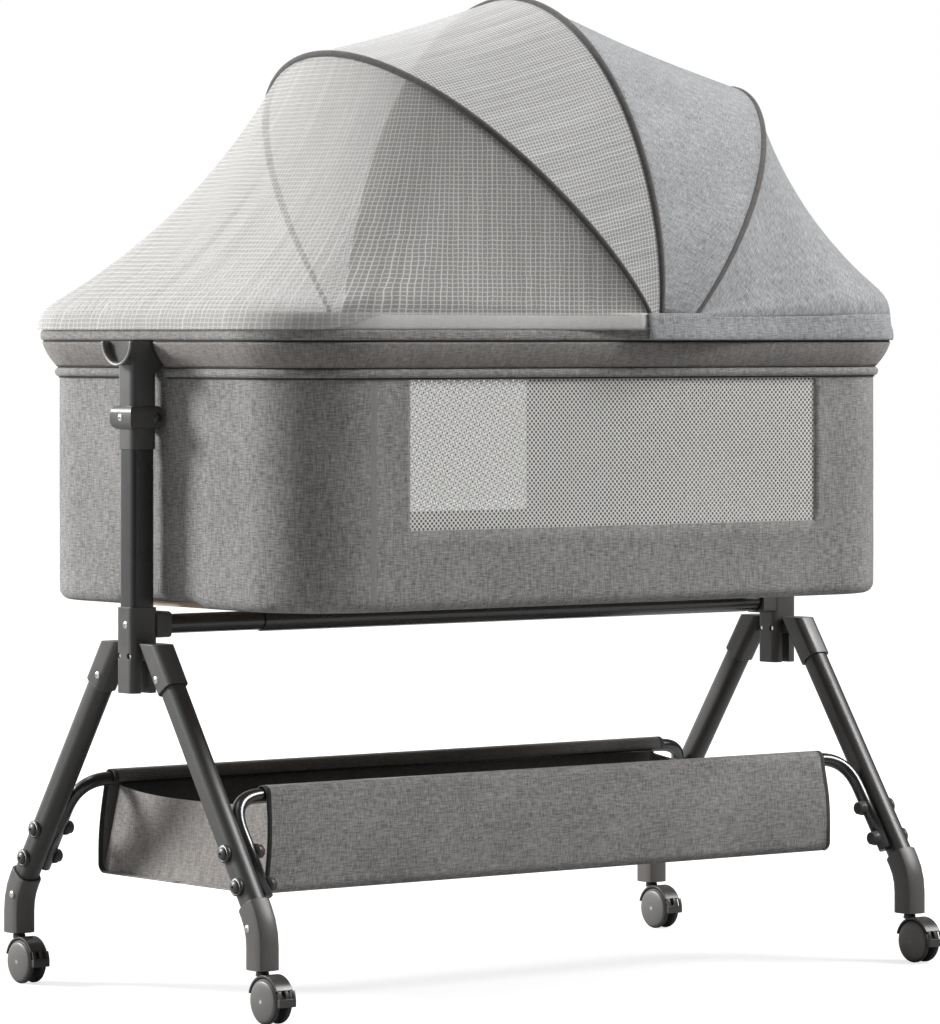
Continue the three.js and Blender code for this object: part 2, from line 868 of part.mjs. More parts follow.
// A release pull: a half-round cup on the sleeve's outer face with a nose into the sleeve.
function releasePull() {
  const halfEllipse = (halfWidth, drop) => Array.from({ length: pullSteps + 1 }, (_, i) => {
    const angle = Math.PI + (Math.PI * i) / pullSteps;
    return new THREE.Vector2(halfWidth * Math.cos(angle), drop * Math.sin(angle));
  });
  const face = sleeveWidthX / 2 + clearance;
  const cup = prismX(halfEllipse(pullHalfWidth, pullDrop), -face - pullDepth, -face);
  const hollowOutline = [
    new THREE.Vector2(-pullHalfWidth + pullWall, overrun),
    ...halfEllipse(pullHalfWidth - pullWall, pullDrop - pullWall),
    new THREE.Vector2(pullHalfWidth - pullWall, overrun),
  ];
  const hollow = prismX(hollowOutline, -face - pullDepth - overrun, -face - pullBack);
  const noseTip = postWidthX / 2 + 2 * clearance;
  const nose = barX(pullNoseRadius, -face - overrun / 2, -noseTip, 0, pullNoseZ - tubTop, 12);
  return joined(cutBy(cup, hollow), nose).translate(0, 0, tubTop);
}

const laneStart = tubHalfWidth + rimOut + clearance + bracketPlate + clearance;
const lanePitch = hoopLugThickness + clearance;
const pinHeadStart = laneStart + 3 * lanePitch;

// Half the distance between a hoop's two ends: each end stands on the middle of its own lane.
function hoopHalfWidth(hoop) {
  return laneStart + hoop.lane * lanePitch + hoopLugThickness / 2;
}

// A canopy bracket: a plate over the rim's roll with the pin that carries all three hoops.
// Built for the side towards -Y, with the pivot axis at the origin.
function hoopBracket() {
  const plateOuter = laneStart - clearance;
  const plateInner = plateOuter - bracketPlate;
  const flangeZ = rimRollTop + clearance - hoopPivotZ;
  const cheek = barY(bracketRadius, -plateOuter, -plateInner, 0, 0, 20);
  const flange = block(
    -bracketFlangeHalfWidth,
    bracketFlangeHalfWidth,
    -plateOuter,
    -plateOuter + bracketFlangeReach,
    flangeZ,
    flangeZ + bracketFlange,
  );
  const pin = barY(hoopPinRadius, -pinHeadStart - hoopPinHead, -plateInner, 0, 0, 12);
  const head = barY(hoopPinHeadRadius, -pinHeadStart - hoopPinHead, -pinHeadStart, 0, 0, 12);
  return joined(cheek, flange, pin, head);
}

// The middle of a hoop's foot line, seen from the pivot axis with the hoop standing upright.
function hoopFoot(hoop) {
  return new THREE.Vector3(hoop.footX * Math.sin(hoop.angle), 0, hoop.footX * Math.cos(hoop.angle));
}

// A hoop's centre line point, with the pivot axis at the origin and the hoop standing upright.
function hoopPoint(hoop, angle) {
  const across = Math.cos(angle);
  const reach = hoop.height * Math.sin(angle) ** hoop.curveShare;
  return hoopFoot(hoop).add(new THREE.Vector3(
    0,
    -hoopHalfWidth(hoop) * Math.sign(across) * Math.abs(across) ** hoop.curveShare,
    reach,
  ));
}

// The angle at which a hoop's centre line is a given distance above its foot line.
function hoopAngleAt(hoop, reach) {
  return Math.asin((reach / hoop.height) ** (1 / hoop.curveShare));
}

// A hoop: a round half ellipse whose ends stand on flat arms, each with its lug in its own lane
// on the pin.
function canopyHoop(hoop) {
  const first = hoopAngleAt(hoop, hoopStart);
  const path = Array.from({ length: hoopSteps + 1 }, (_, i) => (
    hoopPoint(hoop, first + ((Math.PI - 2 * first) * i) / hoopSteps)
  ));
  path[0].y = -hoopHalfWidth(hoop);
  path[hoopSteps].y = hoopHalfWidth(hoop);
  const tube = sweep(path, new THREE.Vector3(1, 0, 0), circle(hoopRadius, hoopSides));
  const laneInner = laneStart + hoop.lane * lanePitch;
  const laneOuter = laneInner + hoopLugThickness;
  const foot = hoopFoot(hoop);
  const armEnd = foot.z + hoopStart + hoopArmOverlap;
  const armOutline = [
    new THREE.Vector2(-hoopArmWidth / 2, 0),
    new THREE.Vector2(hoopArmWidth / 2, 0),
    new THREE.Vector2(foot.x + hoopArmWidth / 2, armEnd),
    new THREE.Vector2(foot.x - hoopArmWidth / 2, armEnd),
  ];
  const lugs = [-1, 1].flatMap((side) => {
    const low = side < 0 ? -laneOuter : laneInner;
    const high = side < 0 ? -laneInner : laneOuter;
    return [
      barY(hoopLugRadius, low, high, 0, 0, 14),
      prismY(armOutline, low, high),
    ];
  });
  const pinHole = barY(hoopHoleRadius, -2 * laneOuter, 2 * laneOuter, 0, 0, 12);
  return cutBy(joined(tube, ...lugs), pinHole);
}

// A hoop's centre line point in the model's frame, moved off the hoop's plane by a distance
// towards the front.
function hoopPlace(hoop, angle, offset) {
  const point = hoopPoint(hoop, angle);
  const outX = Math.cos(hoop.angle);
  const outZ = Math.sin(hoop.angle);
  const behind = point.x - offset;
  return new THREE.Vector3(
    hoopPivotX + point.z * outX + behind * outZ,
    point.y,
    hoopPivotZ + point.z * outZ - behind * outX,
  );
}

// A cloth of even thickness from a grid of points, closed along its edges.
function cloth(grid) {
  const rows = grid.length;
  const columns = grid[0].length;
  const at = (row, column) => grid[Math.min(Math.max(row, 0), rows - 1)][
    Math.min(Math.max(column, 0), columns - 1)];
  const face = (side) => grid.flatMap((line, row) => line.map((point, column) => {
    const down = new THREE.Vector3().subVectors(at(row + 1, column), at(row - 1, column));
    const along = new THREE.Vector3().subVectors(at(row, column + 1), at(row, column - 1));
    const normal = new THREE.Vector3().crossVectors(down, along).normalize();
    return point.clone().addScaledVector(normal, (side * clothThickness) / 2);
  }));
  const points = [...face(1), ...face(-1)];
  const under = rows * columns;
  const triangles = [];
  const quad = (a, b, c, d) => triangles.push([a, b, c], [a, c, d]);
  for (let row = 0; row < rows - 1; row += 1) {
    for (let column = 0; column < columns - 1; column += 1) {
      const a = row * columns + column;
      quad(a, a + 1, a + columns + 1, a + columns);
      quad(under + a, under + a + columns, under + a + columns + 1, under + a + 1);
    }
  }
  const edge = [];
  for (let column = 0; column < columns - 1; column += 1) edge.push(column);
  for (let row = 0; row < rows - 1; row += 1) edge.push(row * columns + columns - 1);
  for (let column = columns - 1; column > 0; column -= 1) edge.push((rows - 1) * columns + column);
  for (let row = rows - 1; row > 0; row -= 1) edge.push(row * columns);
  edge.forEach((corner, i) => {
    const next = edge[(i + 1) % edge.length];
    quad(next, corner, under + corner, under + next);
  });
  return closedGeometry(points, triangles);
}

function hoopAngles(hoop) {
  const first = hoopAngleAt(hoop, clothStart);
  return Array.from({ length: clothColumns + 1 }, (_, i) => (
    first + ((Math.PI - 2 * first) * i) / clothColumns
  ));
}

const clothEdge = hoopRadius + fabricGap;

// Cloth stretched between two hoops, from the rear one to the one in front of it.
function hoopPanel(back, front, rows) {
  const backAngles = hoopAngles(back);
  const frontAngles = hoopAngles(front);
  const grid = Array.from({ length: rows + 1 }, (_, row) => backAngles.map((angle, i) => (
    hoopPlace(back, angle, clothEdge).lerp(hoopPlace(front, frontAngles[i], -clothEdge), row / rows)
  )));
  return cloth(grid);
}

// Points along the rim's top from one long side round one end to the other, evenly spaced.
function rimLine(side, startX) {
  const grow = rimOut - 2 * rimRollEdge;
  const halfLength = tubHalfLength + grow;
  const halfWidth = tubHalfWidth + grow;
  const radius = tubCorner + grow;
  const path = new THREE.Path();
  path.moveTo(side * startX, -halfWidth);
  path.lineTo(halfLength - radius, -halfWidth);
  path.absarc(halfLength - radius, radius - halfWidth, radius, -Math.PI / 2, 0, false);
  path.lineTo(halfLength, halfWidth - radius);
  path.absarc(halfLength - radius, halfWidth - radius, radius, 0, Math.PI / 2, false);
  path.lineTo(side * startX, halfWidth);
  return path.getSpacedPoints(clothColumns).map((point) => (
    new THREE.Vector3(side * point.x, point.y, rimRollTop + clearance + clothThickness)
  ));
}

// Cloth from a hoop down to the rim at one end. It sags inwards and rises straight at its hem.
function rimPanel(hoop, side, rimStartX, sag, rows) {
  const rim = rimLine(side, rimStartX);
  const angles = hoopAngles(hoop);
  const grid = Array.from({ length: rows + 1 }, (_, row) => angles.map((angle, i) => {
    const share = row / rows;
    const top = hoopPlace(hoop, angle, -side * clothEdge);
    const hem = rim[i].clone().setZ(rim[i].z + hemRise * Math.sin(angle));
    if (row === rows) {
      return rim[i].clone();
    }
    const point = top.clone().lerp(hem, row / (rows - 1));
    const hang = sag * Math.sin(Math.PI * share) * Math.sin(angle);
    const inward = new THREE.Vector3(hoopPivotX - point.x, -point.y, -Math.abs(point.z - hoopPivotZ));
    return point.addScaledVector(inward.normalize(), hang);
  }));
  return cloth(grid);
}

// The basket: a fabric trough hung on two hems that wrap the rails.
function basket() {
  const railY = -boltPlace(railZ).y;
  const wallTop = railZ;
  const halfWidthAt = (z) => railY + ((wallTop - z) / (wallTop - basketBottomZ))
    * (basketBottomHalfWidth - railY);
  const section = (grow, low) => [
    [-halfWidthAt(wallTop) + grow, wallTop],
    [-halfWidthAt(low) + grow, low],
    [halfWidthAt(low) - grow, low],
    [halfWidthAt(wallTop) - grow, wallTop],
  ];
  const ends = (grow, low, top) => [-1, 1].map((side) => (
    [-1, 1].flatMap((sideY) => {
      const atTop = side * (basketHalfLength - grow);
      const atLow = side * (basketBottomHalfLength - grow);
      const corners = [
        new THREE.Vector3(atLow, sideY * (halfWidthAt(low) - grow), low),
        new THREE.Vector3(atTop, sideY * (railY - grow), top),
      ];
      return sideY < 0 ? corners : corners.reverse();
    })
  ));
  const outside = loft(ends(0, basketBottomZ, wallTop));
  const inside = loft(ends(basketWall, basketBottomZ + basketWall, wallTop + overrun));
  const endLow = railZ - hemRadius - basketEndDrop;
  const endCuts = [-1, 1].map((side) => block(
    side > 0 ? basketHalfLength - 4 * basketWall : -basketBottomHalfLength - overrun,
    side > 0 ? basketBottomHalfLength + overrun : -basketHalfLength + 4 * basketWall,
    hemRadius - railY,
    railY - hemRadius,
    endLow,
    wallTop + overrun,
  ));
  const hems = [-1, 1].map((side) => (
    barX(hemRadius, -basketHalfLength, basketHalfLength, side * railY, railZ, 12)
  ));
  const bores = [-1, 1].map((side) => (
    barX(railRadius + fabricGap, -basketHalfLength - overrun, basketHalfLength + overrun, side * railY, railZ, 12)
  ));
  const trough = cutBy(outside, inside, ...endCuts);
  return cutBy(joined(trough, ...hems), ...bores);
}

// Crossbar tubes, along X.
function crossbarTube(outerRadius, lowX, highX) {
  return prismX(circle(outerRadius, 14), lowX, highX, [circle(outerRadius - crossbarWall, 14)]);
}

function placeEnds(buildFor) {
  [['left', -1], ['right', 1]].forEach(([name, side]) => buildFor(name, side));
}

// Stands: the left one is built as it is, and the right one is turned half a turn.
placeEnds((end, side) => {
  const stand = new THREE.Group();
  stand.position.x = side * frameX;
  stand.rotation.z = side > 0 ? Math.PI : 0;
  model.add(stand);

  addPiece(stand, `hub_${end}`, hub(side < 0 ? crossbarInnerRadius : crossbarOuterRadius), charcoal);
  addPiece(stand, `post_${end}`, postTube(), blackTube);
  addPiece(stand, `height_sleeve_${end}`, heightSleeve(), charcoal);
  addPiece(stand, `clamp_collar_${end}`, clampCollar(), charcoal);
  addPiece(stand, `release_pull_${end}`, releasePull(), charcoal);

  [['front', -1], ['back', 1]].forEach(([row, sideY]) => {
    const leg = new THREE.Group();
    leg.rotation.z = side * sideY > 0 ? 0 : Math.PI;
    stand.add(leg);
    addPiece(leg, `leg_socket_${row}_${end}`, legSocket(), charcoal);
    addPiece(leg, `leg_tube_${row}_${end}`, legTube(), blackTube);
    addPiece(leg, `foot_elbow_${row}_${end}`, footElbow(), charcoal);
    const pin = addPiece(leg, `pivot_pin_${row}_${end}`, pivotPin(), steel);
    pin.position.set(0, -pivotY, pivotZ);

    const caster = new THREE.Group();
    caster.position.set(side * frameX, sideY * stemY, 0);
    model.add(caster);
    addPiece(caster, `caster_body_${row}_${end}`, casterBody(), casterGrey);
    addPiece(caster, `caster_wheels_${row}_${end}`, wheelPair(), casterGrey);
    addPiece(caster, `brake_lever_${row}_${end}`, brakeLever(), casterGrey);
  });
});

const seatX = frameX - hubWidthX / 2 - bossLength + crossbarSeat - clearance;
const outerTube = addPiece(
  model,
  'crossbar_outer',
  crossbarTube(crossbarOuterRadius, crossbarSplitX, seatX),
  blackTube,
);
outerTube.position.z = crossbarZ;
const innerTube = addPiece(
  model,
  'crossbar_inner',
  crossbarTube(crossbarInnerRadius, -seatX, crossbarSplitX + crossbarOverlap),
  blackTube,
);
innerTube.position.z = crossbarZ;

addPiece(model, 'basket_rail_front', basketRail(), blackTube);
const backRail = addPiece(model, 'basket_rail_back', basketRail(), blackTube);
backRail.rotation.z = Math.PI;
addPiece(model, 'basket', basket(), greyFabric);

addPiece(model, 'tub_shell', tubShell(), greyFabric);
addPiece(model, 'floor_board', floorBoard(), plywood);
addPiece(model, 'mattress', mattress(), whiteCotton);
addPiece(model, 'rim_ring', rimRing(), greyFabric);
[['front', -1], ['back', 1]].forEach(([row, sideY]) => {
  const net = addPiece(model, `window_net_${row}`, windowNet(), paleNet);
  net.position.y = sideY * (tubHalfWidth - tubWall / 2);
  const bracket = addPiece(model, `hoop_bracket_${row}`, hoopBracket(), charcoal);
  bracket.position.set(hoopPivotX, 0, hoopPivotZ);
  bracket.rotation.z = sideY > 0 ? Math.PI : 0;
});

Object.entries(hoops).forEach(([name, hoop]) => {
  const mesh = addPiece(model, `hoop_${name}`, canopyHoop(hoop), darkPiping);
  mesh.position.set(hoopPivotX, 0, hoopPivotZ);
  mesh.rotation.y = Math.PI / 2 - hoop.angle;
});
const hoodStartX = hoopPivotX + hoops.rear.footX + clothStart;
addPiece(model, 'hood_rear_panel', rimPanel(hoops.rear, 1, hoodStartX, rearHoodSag, 4), greyFabric);
addPiece(model, 'hood_top_panel', hoopPanel(hoops.rear, hoops.mid, 2), greyFabric);
addPiece(model, 'net_top_panel', hoopPanel(hoops.mid, hoops.front, 2), paleNet);
addPiece(model, 'net_front_panel', rimPanel(hoops.front, -1, hoopPivotX - clothStart, frontNetSag, 6), paleNet);

export default model;
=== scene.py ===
"""Looks for a wheeled bedside cot, in metres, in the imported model's frame."""
import math
from itertools import accumulate

import bmesh
import bpy
import numpy as np
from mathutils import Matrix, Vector, noise


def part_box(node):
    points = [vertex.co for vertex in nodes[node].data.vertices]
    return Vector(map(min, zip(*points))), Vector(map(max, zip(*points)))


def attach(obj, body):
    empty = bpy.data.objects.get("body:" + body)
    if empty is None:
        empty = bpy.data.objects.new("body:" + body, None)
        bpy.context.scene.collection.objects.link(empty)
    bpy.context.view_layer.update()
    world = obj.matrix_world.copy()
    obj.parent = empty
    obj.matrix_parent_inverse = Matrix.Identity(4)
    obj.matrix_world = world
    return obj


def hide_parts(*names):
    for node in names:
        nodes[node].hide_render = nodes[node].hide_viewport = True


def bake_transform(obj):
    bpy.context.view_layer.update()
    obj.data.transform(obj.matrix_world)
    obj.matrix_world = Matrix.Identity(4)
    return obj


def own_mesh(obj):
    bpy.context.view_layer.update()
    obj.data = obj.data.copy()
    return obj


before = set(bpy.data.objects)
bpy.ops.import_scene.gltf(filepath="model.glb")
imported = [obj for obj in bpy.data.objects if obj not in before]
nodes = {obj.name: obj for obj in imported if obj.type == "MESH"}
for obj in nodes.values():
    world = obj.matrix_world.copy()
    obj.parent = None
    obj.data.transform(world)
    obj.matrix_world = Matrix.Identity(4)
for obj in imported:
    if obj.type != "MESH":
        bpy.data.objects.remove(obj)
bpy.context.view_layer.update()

ENDS = {"left": -1, "right": 1}
ROWS = {"front": -1, "back": 1}
SQUARE = ((-1, -1), (1, -1), (1, 1), (-1, 1))


# Camera, fitted to the photograph
PHOTO_HEIGHT = 1024
FOCAL_PX = 5439
HORIZON_PX = 336.5
SENSOR_MM = 36
CAMERA_AZIMUTH = math.radians(38.05)
CAMERA_DISTANCE = 6.13
CAMERA_HEIGHT = 0.715
CAMERA_SIDE = -0.0019


def add_camera():
    forward = Vector((math.sin(CAMERA_AZIMUTH), math.cos(CAMERA_AZIMUTH), 0))
    right = Vector((forward.y, -forward.x, 0))
    data = bpy.data.cameras.new("camera")
    data.sensor_width = SENSOR_MM
    data.lens = FOCAL_PX / PHOTO_HEIGHT * SENSOR_MM
    data.shift_y = (HORIZON_PX - PHOTO_HEIGHT / 2) / PHOTO_HEIGHT
    data.clip_end = 50
    camera = bpy.data.objects.new("camera", data)
    camera.location = right * CAMERA_SIDE - forward * CAMERA_DISTANCE + Vector((0, 0, CAMERA_HEIGHT))
    camera.rotation_euler = forward.to_track_quat("-Z", "Y").to_euler()
    bpy.context.scene.collection.objects.link(camera)
    bpy.context.scene.camera = camera


# Node graph helpers
def link(tree, value, socket):
    """Sets a socket from a number, a colour or another node's output."""
    if isinstance(value, bpy.types.NodeSocket):
        tree.links.new(value, socket)
    elif socket.type == "RGBA":
        socket.default_value = (*value, 1)
    else:
        socket.default_value = value


def add_node(tree, kind, inputs, output=0, **settings):
    """One output of a new node. inputs maps a socket's name or number to its value."""
    made = tree.nodes.new("ShaderNode" + kind)
    for name, value in settings.items():
        setattr(made, name, value)
    for key, value in inputs.items():
        link(tree, value, made.inputs[key])
    return made.outputs[output]


def calc(tree, operation, *values):
    return add_node(tree, "Math", dict(enumerate(values)), operation=operation)


def weighted(tree, first, first_share, second, second_share):
    parts = (calc(tree, "MULTIPLY", first, first_share), calc(tree, "MULTIPLY", second, second_share))
    return calc(tree, "ADD", *parts)


def mix_colour(tree, share, first, second):
    return add_node(tree, "Mix", {0: share, 6: first, 7: second}, 2, data_type="RGBA")


def mix_number(tree, share, first, second):
    return add_node(tree, "Mix", {0: share, 2: first, 3: second}, data_type="FLOAT")


def noise_node(tree, vector, scale, detail=2.0, roughness=0.5):
    inputs = {"Vector": vector, "Scale": scale, "Detail": detail, "Roughness": roughness}
    return add_node(tree, "TexNoise", inputs, "Fac")


def remap(tree, value, low, high, new_low=0.0, new_high=1.0):
    return add_node(tree, "MapRange", dict(enumerate((value, low, high, new_low, new_high))))


def bump(tree, height, strength, distance):
    return add_node(tree, "Bump", {"Strength": strength, "Distance": distance, "Height": height}, "Normal")


def stretched(tree, vector, across, along, shift=0.0):
    inputs = {"Vector": vector, "Location": (shift,) * 3, "Scale": (across, along, 1)}
    return add_node(tree, "Mapping", inputs)


def coordinates(tree, output):
    return add_node(tree, "TexCoord", {}, output)


def separated(tree, vector):
    made = tree.nodes.new("ShaderNodeSeparateXYZ")
    tree.links.new(vector, made.inputs[0])
    return made.outputs


def new_material(name, roughness, **uniform):
    """A material whose shader has these uniform values on its own sockets."""
    material = bpy.data.materials.new(name)
    material.use_nodes = True
    shader = material.node_tree.nodes["Principled BSDF"]
    shader.inputs["Roughness"].default_value = roughness
    for socket, value in uniform.items():
        shader.inputs[socket.replace("_", " ")].default_value = value
    return material, material.node_tree, shader.inputs


def shades(colour, *factors):
    return [tuple(factor * value for value in colour) for factor in factors]


# Heather cloth: slubs along both thread directions over a fine plain weave
THREAD = 0.0011
SLUB_LENGTH = 0.011
SLUB_WIDTH = 0.0013


def heather(name, dark, light, contrast=1.0):
    material, tree, sockets = new_material(name, 0.92, Sheen_Weight=0.15, Sheen_Roughness=0.5)
    uv = coordinates(tree, "UV")
    weft = noise_node(tree, stretched(tree, uv, 1 / SLUB_LENGTH, 1 / SLUB_WIDTH), 1.0, 3.0, 0.6)
    warp = noise_node(tree, stretched(tree, uv, 1 / SLUB_WIDTH, 1 / SLUB_LENGTH, 7.3), 1.0, 3.0, 0.6)
    drift = remap(tree, noise_node(tree, uv, 9.0, 3.0), 0.3, 0.7, -0.10, 0.10)
    slubs = weighted(tree, weft, 0.55, warp, 0.45)
    width = 0.17 / contrast
    share = remap(tree, slubs, 0.5 - width, 0.5 + width)
    link(tree, mix_colour(tree, calc(tree, "ADD", share, drift), dark, light), sockets["Base Color"])
    axes = separated(tree, uv)[:2]
    waves = [calc(tree, "SINE", calc(tree, "MULTIPLY", axis, math.tau / THREAD)) for axis in axes]
    height = weighted(tree, calc(tree, "MULTIPLY", *waves), 0.35, slubs, 1.0)
    link(tree, bump(tree, height, 0.55, 0.0005), sockets["Normal"])
    return material


THREAD_EDGE_SHARE = 0.24


def stripes(tree, value, pitch, width_share):
    """1 on the threads of one direction, 0 between them, with soft twisted edges."""
    place = calc(tree, "FRACT", calc(tree, "DIVIDE", value, pitch))
    from_middle = calc(tree, "ABSOLUTE", calc(tree, "SUBTRACT", place, 0.5))
    half = calc(tree, "MULTIPLY", width_share, 0.5)
    inner = calc(tree, "SUBTRACT", half, THREAD_EDGE_SHARE / 2)
    outer = calc(tree, "ADD", half, THREAD_EDGE_SHARE / 2)
    return remap(tree, from_middle, inner, outer, 1.0, 0.0)


def woven_net(name, colour, pitch, width_share, uneven_share, filled_share):
    """Square net of threads, some thicker and paler. A hair-fine ground fills a share of its gaps."""
    material, tree, sockets = new_material(name, 0.85)
    uv = coordinates(tree, "UV")
    wobble = calc(tree, "MULTIPLY", noise_node(tree, stretched(tree, uv, 60, 60), 1.0, 2.0), pitch * 0.6)
    uneven = [
        noise_node(tree, stretched(tree, uv, 150, 5), 1.0, 2.0, 0.7),
        noise_node(tree, stretched(tree, uv, 5, 190, 4.1), 1.0, 2.0, 0.7),
    ]
    thin, thick = (width_share * (1 + 0.22 * sign * uneven_share) for sign in (-1, 1))
    threads = [
        stripes(tree, calc(tree, "ADD", axis, wobble), pitch, remap(tree, value, 0.35, 0.65, thin, thick))
        for axis, value in zip(separated(tree, uv), uneven)
    ]
    alpha = calc(tree, "MAXIMUM", calc(tree, "MAXIMUM", *threads), filled_share)
    link(tree, alpha, sockets["Alpha"])
    fine = noise_node(tree, stretched(tree, uv, 900, 900), 1.0, 1.0)
    drift = remap(tree, weighted(tree, fine, 0.35, uneven[0], 0.65), 0.36, 0.64)
    tints = shades(colour, 1 - 0.3 * uneven_share, 1 + 0.2 * uneven_share)
    link(tree, mix_colour(tree, drift, *tints), sockets["Base Color"])
    return material


def dotted_net(name, colour, pitch, hole_share, filled_share, turn=0.0):
    """Warp-knit net with staggered round holes, each crossed by a few fine threads."""
    material, tree, sockets = new_material(name, 0.85)
    uv = coordinates(tree, "UV")
    holes = []
    for shift in (0.0, 0.5):
        placed = add_node(tree, "Mapping", {
            "Vector": uv,
            "Location": (shift, shift, 0),
            "Rotation": (0, 0, turn),
            "Scale": (1 / pitch, 1 / pitch, 1),
        })
        cell = add_node(tree, "VectorMath", {0: placed}, operation="FRACTION")
        flat = add_node(tree, "VectorMath", {0: cell, 1: (1, 1, 0)}, operation="MULTIPLY")
        distance = add_node(tree, "VectorMath", {0: flat, 1: (0.5, 0.5, 0)}, "Value", operation="DISTANCE")
        holes.append(calc(tree, "LESS_THAN", distance, hole_share))
    open_share = calc(tree, "MULTIPLY", calc(tree, "MAXIMUM", *holes), 1 - filled_share)
    link(tree, calc(tree, "SUBTRACT", 1.0, open_share), sockets["Alpha"])
    drift = noise_node(tree, stretched(tree, uv, 500, 500), 1.0, 1.0)
    link(tree, mix_colour(tree, drift, *shades(colour, 0.8, 1)), sockets["Base Color"])
    return material


def uneven_finish(name, roughness, coat, patches, spread, colours, grain):
    """A hard surface with uneven gloss and tint over a grain of (scale, detail, strength, depth)."""
    material, tree, sockets = new_material(name, roughness, Coat_Weight=coat[0], Coat_Roughness=coat[1])
    place = coordinates(tree, "Object")
    uneven = noise_node(tree, place, *patches)
    gloss = remap(tree, uneven, 0.3, 0.7, roughness - spread[0], roughness + spread[1])
    link(tree, gloss, sockets["Roughness"])
    link(tree, mix_colour(tree, uneven, *colours), sockets["Base Color"])
    link(tree, bump(tree, noise_node(tree, place, *grain[:2]), *grain[2:]), sockets["Normal"])
    return material


def moulded(name, colour, roughness, coat=0.0):
    """Moulded plastic with a fine grain."""
    tints = shades(colour, 0.9, 1.12)
    grain = (1400, 1.0, 0.35, 0.00006)
    return uneven_finish(name, roughness, (coat, 0.28), (35, 3.0), (0.05, 0.05), tints, grain)


def painted(name, colour, roughness, coat):
    """Powder-coated tube with a faint orange peel."""
    tints = shades(colour, 0.9, 1)
    grain = (420, 2.0, 0.25, 0.00008)
    return uneven_finish(name, roughness, (coat, 0.22), (60, 2.0), (0.015, 0.02), tints, grain)


def bright_steel(name):
    material, tree, sockets = new_material(name, 0.22, Metallic=1.0)
    scratches = noise_node(tree, stretched(tree, coordinates(tree, "Object"), 300, 2500), 1.0, 2.0)
    link(tree, remap(tree, scratches, 0.3, 0.7, 0.16, 0.34), sockets["Roughness"])
    link(tree, mix_colour(tree, scratches, (0.62, 0.62, 0.61), (0.8, 0.8, 0.79)), sockets["Base Color"])
    return material


def lightened_fibreboard(name):
    material, tree, sockets = new_material(name, 0.75)
    place = coordinates(tree, "Object")
    fibres = noise_node(tree, stretched(tree, place, 90, 900), 1.0, 4.0, 0.65)
    mixed = weighted(tree, fibres, 0.7, noise_node(tree, place, 14, 2.0), 0.3)
    # Tan lighter than the board's own tone: painted light on its shaded edge.
    link(tree, mix_colour(tree, mixed, (0.36, 0.27, 0.205), (0.58, 0.47, 0.38)), sockets["Base Color"])
    link(tree, bump(tree, fibres, 0.3, 0.0002), sockets["Normal"])
    return material


FABRIC = heather("heather_cloth", (0.078, 0.074, 0.070), (0.355, 0.347, 0.338), 1.15)
# Darker, warmer cloth for the rim's band; on the basket's end walls it is painted shade.
BAND_AND_END_SHADE_FABRIC = heather("heather_band_and_end_shade", (0.088, 0.080, 0.074), (0.33, 0.31, 0.295))
HOOD_FABRIC = heather("heather_hood", (0.112, 0.114, 0.117), (0.40, 0.41, 0.417), 1.1)
# A darker copy of the cloth for faces that look inward: painted shade inside the tub and the basket.
SHADED_INNER_FABRIC = heather("heather_inside_painted_shade", (0.06, 0.058, 0.055), (0.17, 0.165, 0.16), 0.7)
# Near-black cloth: the basket's real binding, and painted shade in the rim's seam creases.
BINDING_AND_SEAM_SHADE = heather("dark_binding_and_seam_shade", (0.012, 0.012, 0.012), (0.035, 0.034, 0.033), 0.7)
PIPING = heather("dark_piping", (0.035, 0.033, 0.031), (0.105, 0.10, 0.095))
FRONT_NET = woven_net("front_net", (0.455, 0.445, 0.43), 0.0052, 0.27, 0.45, 0.46)
TOP_NET = woven_net("top_net", (0.48, 0.475, 0.47), 0.0042, 0.36, 0.5, 0.50)
HEM_NET = heather("net_hem", (0.38, 0.375, 0.365), (0.54, 0.53, 0.52), 0.7)
WINDOW_NET = dotted_net("window_net", (0.70, 0.69, 0.67), 0.0058, 0.265, 0.20)
# The far window's net is a darker copy of the window net: painted shade.
SHADED_BACK_WINDOW_NET = dotted_net("back_window_net_painted_shade", (0.56, 0.55, 0.535), 0.0050, 0.25, 0.20, 0.46)
COTTON = heather("white_cotton", (0.40, 0.395, 0.385), (0.52, 0.515, 0.505), 0.7)
CHARCOAL = moulded("charcoal_plastic", (0.066, 0.064, 0.062), 0.37)
SLEEVE = moulded("sleeve_plastic", (0.052, 0.051, 0.050), 0.34, 0.75)
# Pale grey plastic: painted highlight along the release pull's edge.
PULL_RIM_HIGHLIGHT = moulded("pull_rim_plastic", (0.30, 0.295, 0.29), 0.35)
FOOT = moulded("foot_plastic", (0.088, 0.082, 0.077), 0.42)
TUBE = painted("black_tube", (0.011, 0.011, 0.0108), 0.28, 0.85)
LEG_TUBE = painted("leg_tube", (0.040, 0.0385, 0.0365), 0.42, 0.1)
CASTER = moulded("caster_plastic", (0.045, 0.043, 0.041), 0.34)
WHEEL = moulded("wheel_face", (0.115, 0.110, 0.104), 0.42)
TREAD = moulded("wheel_tread", (0.03, 0.03, 0.03), 0.6)
STEEL = bright_steel("bright_steel")
LIGHTENED_BOARD = lightened_fibreboard("lightened_fibreboard")


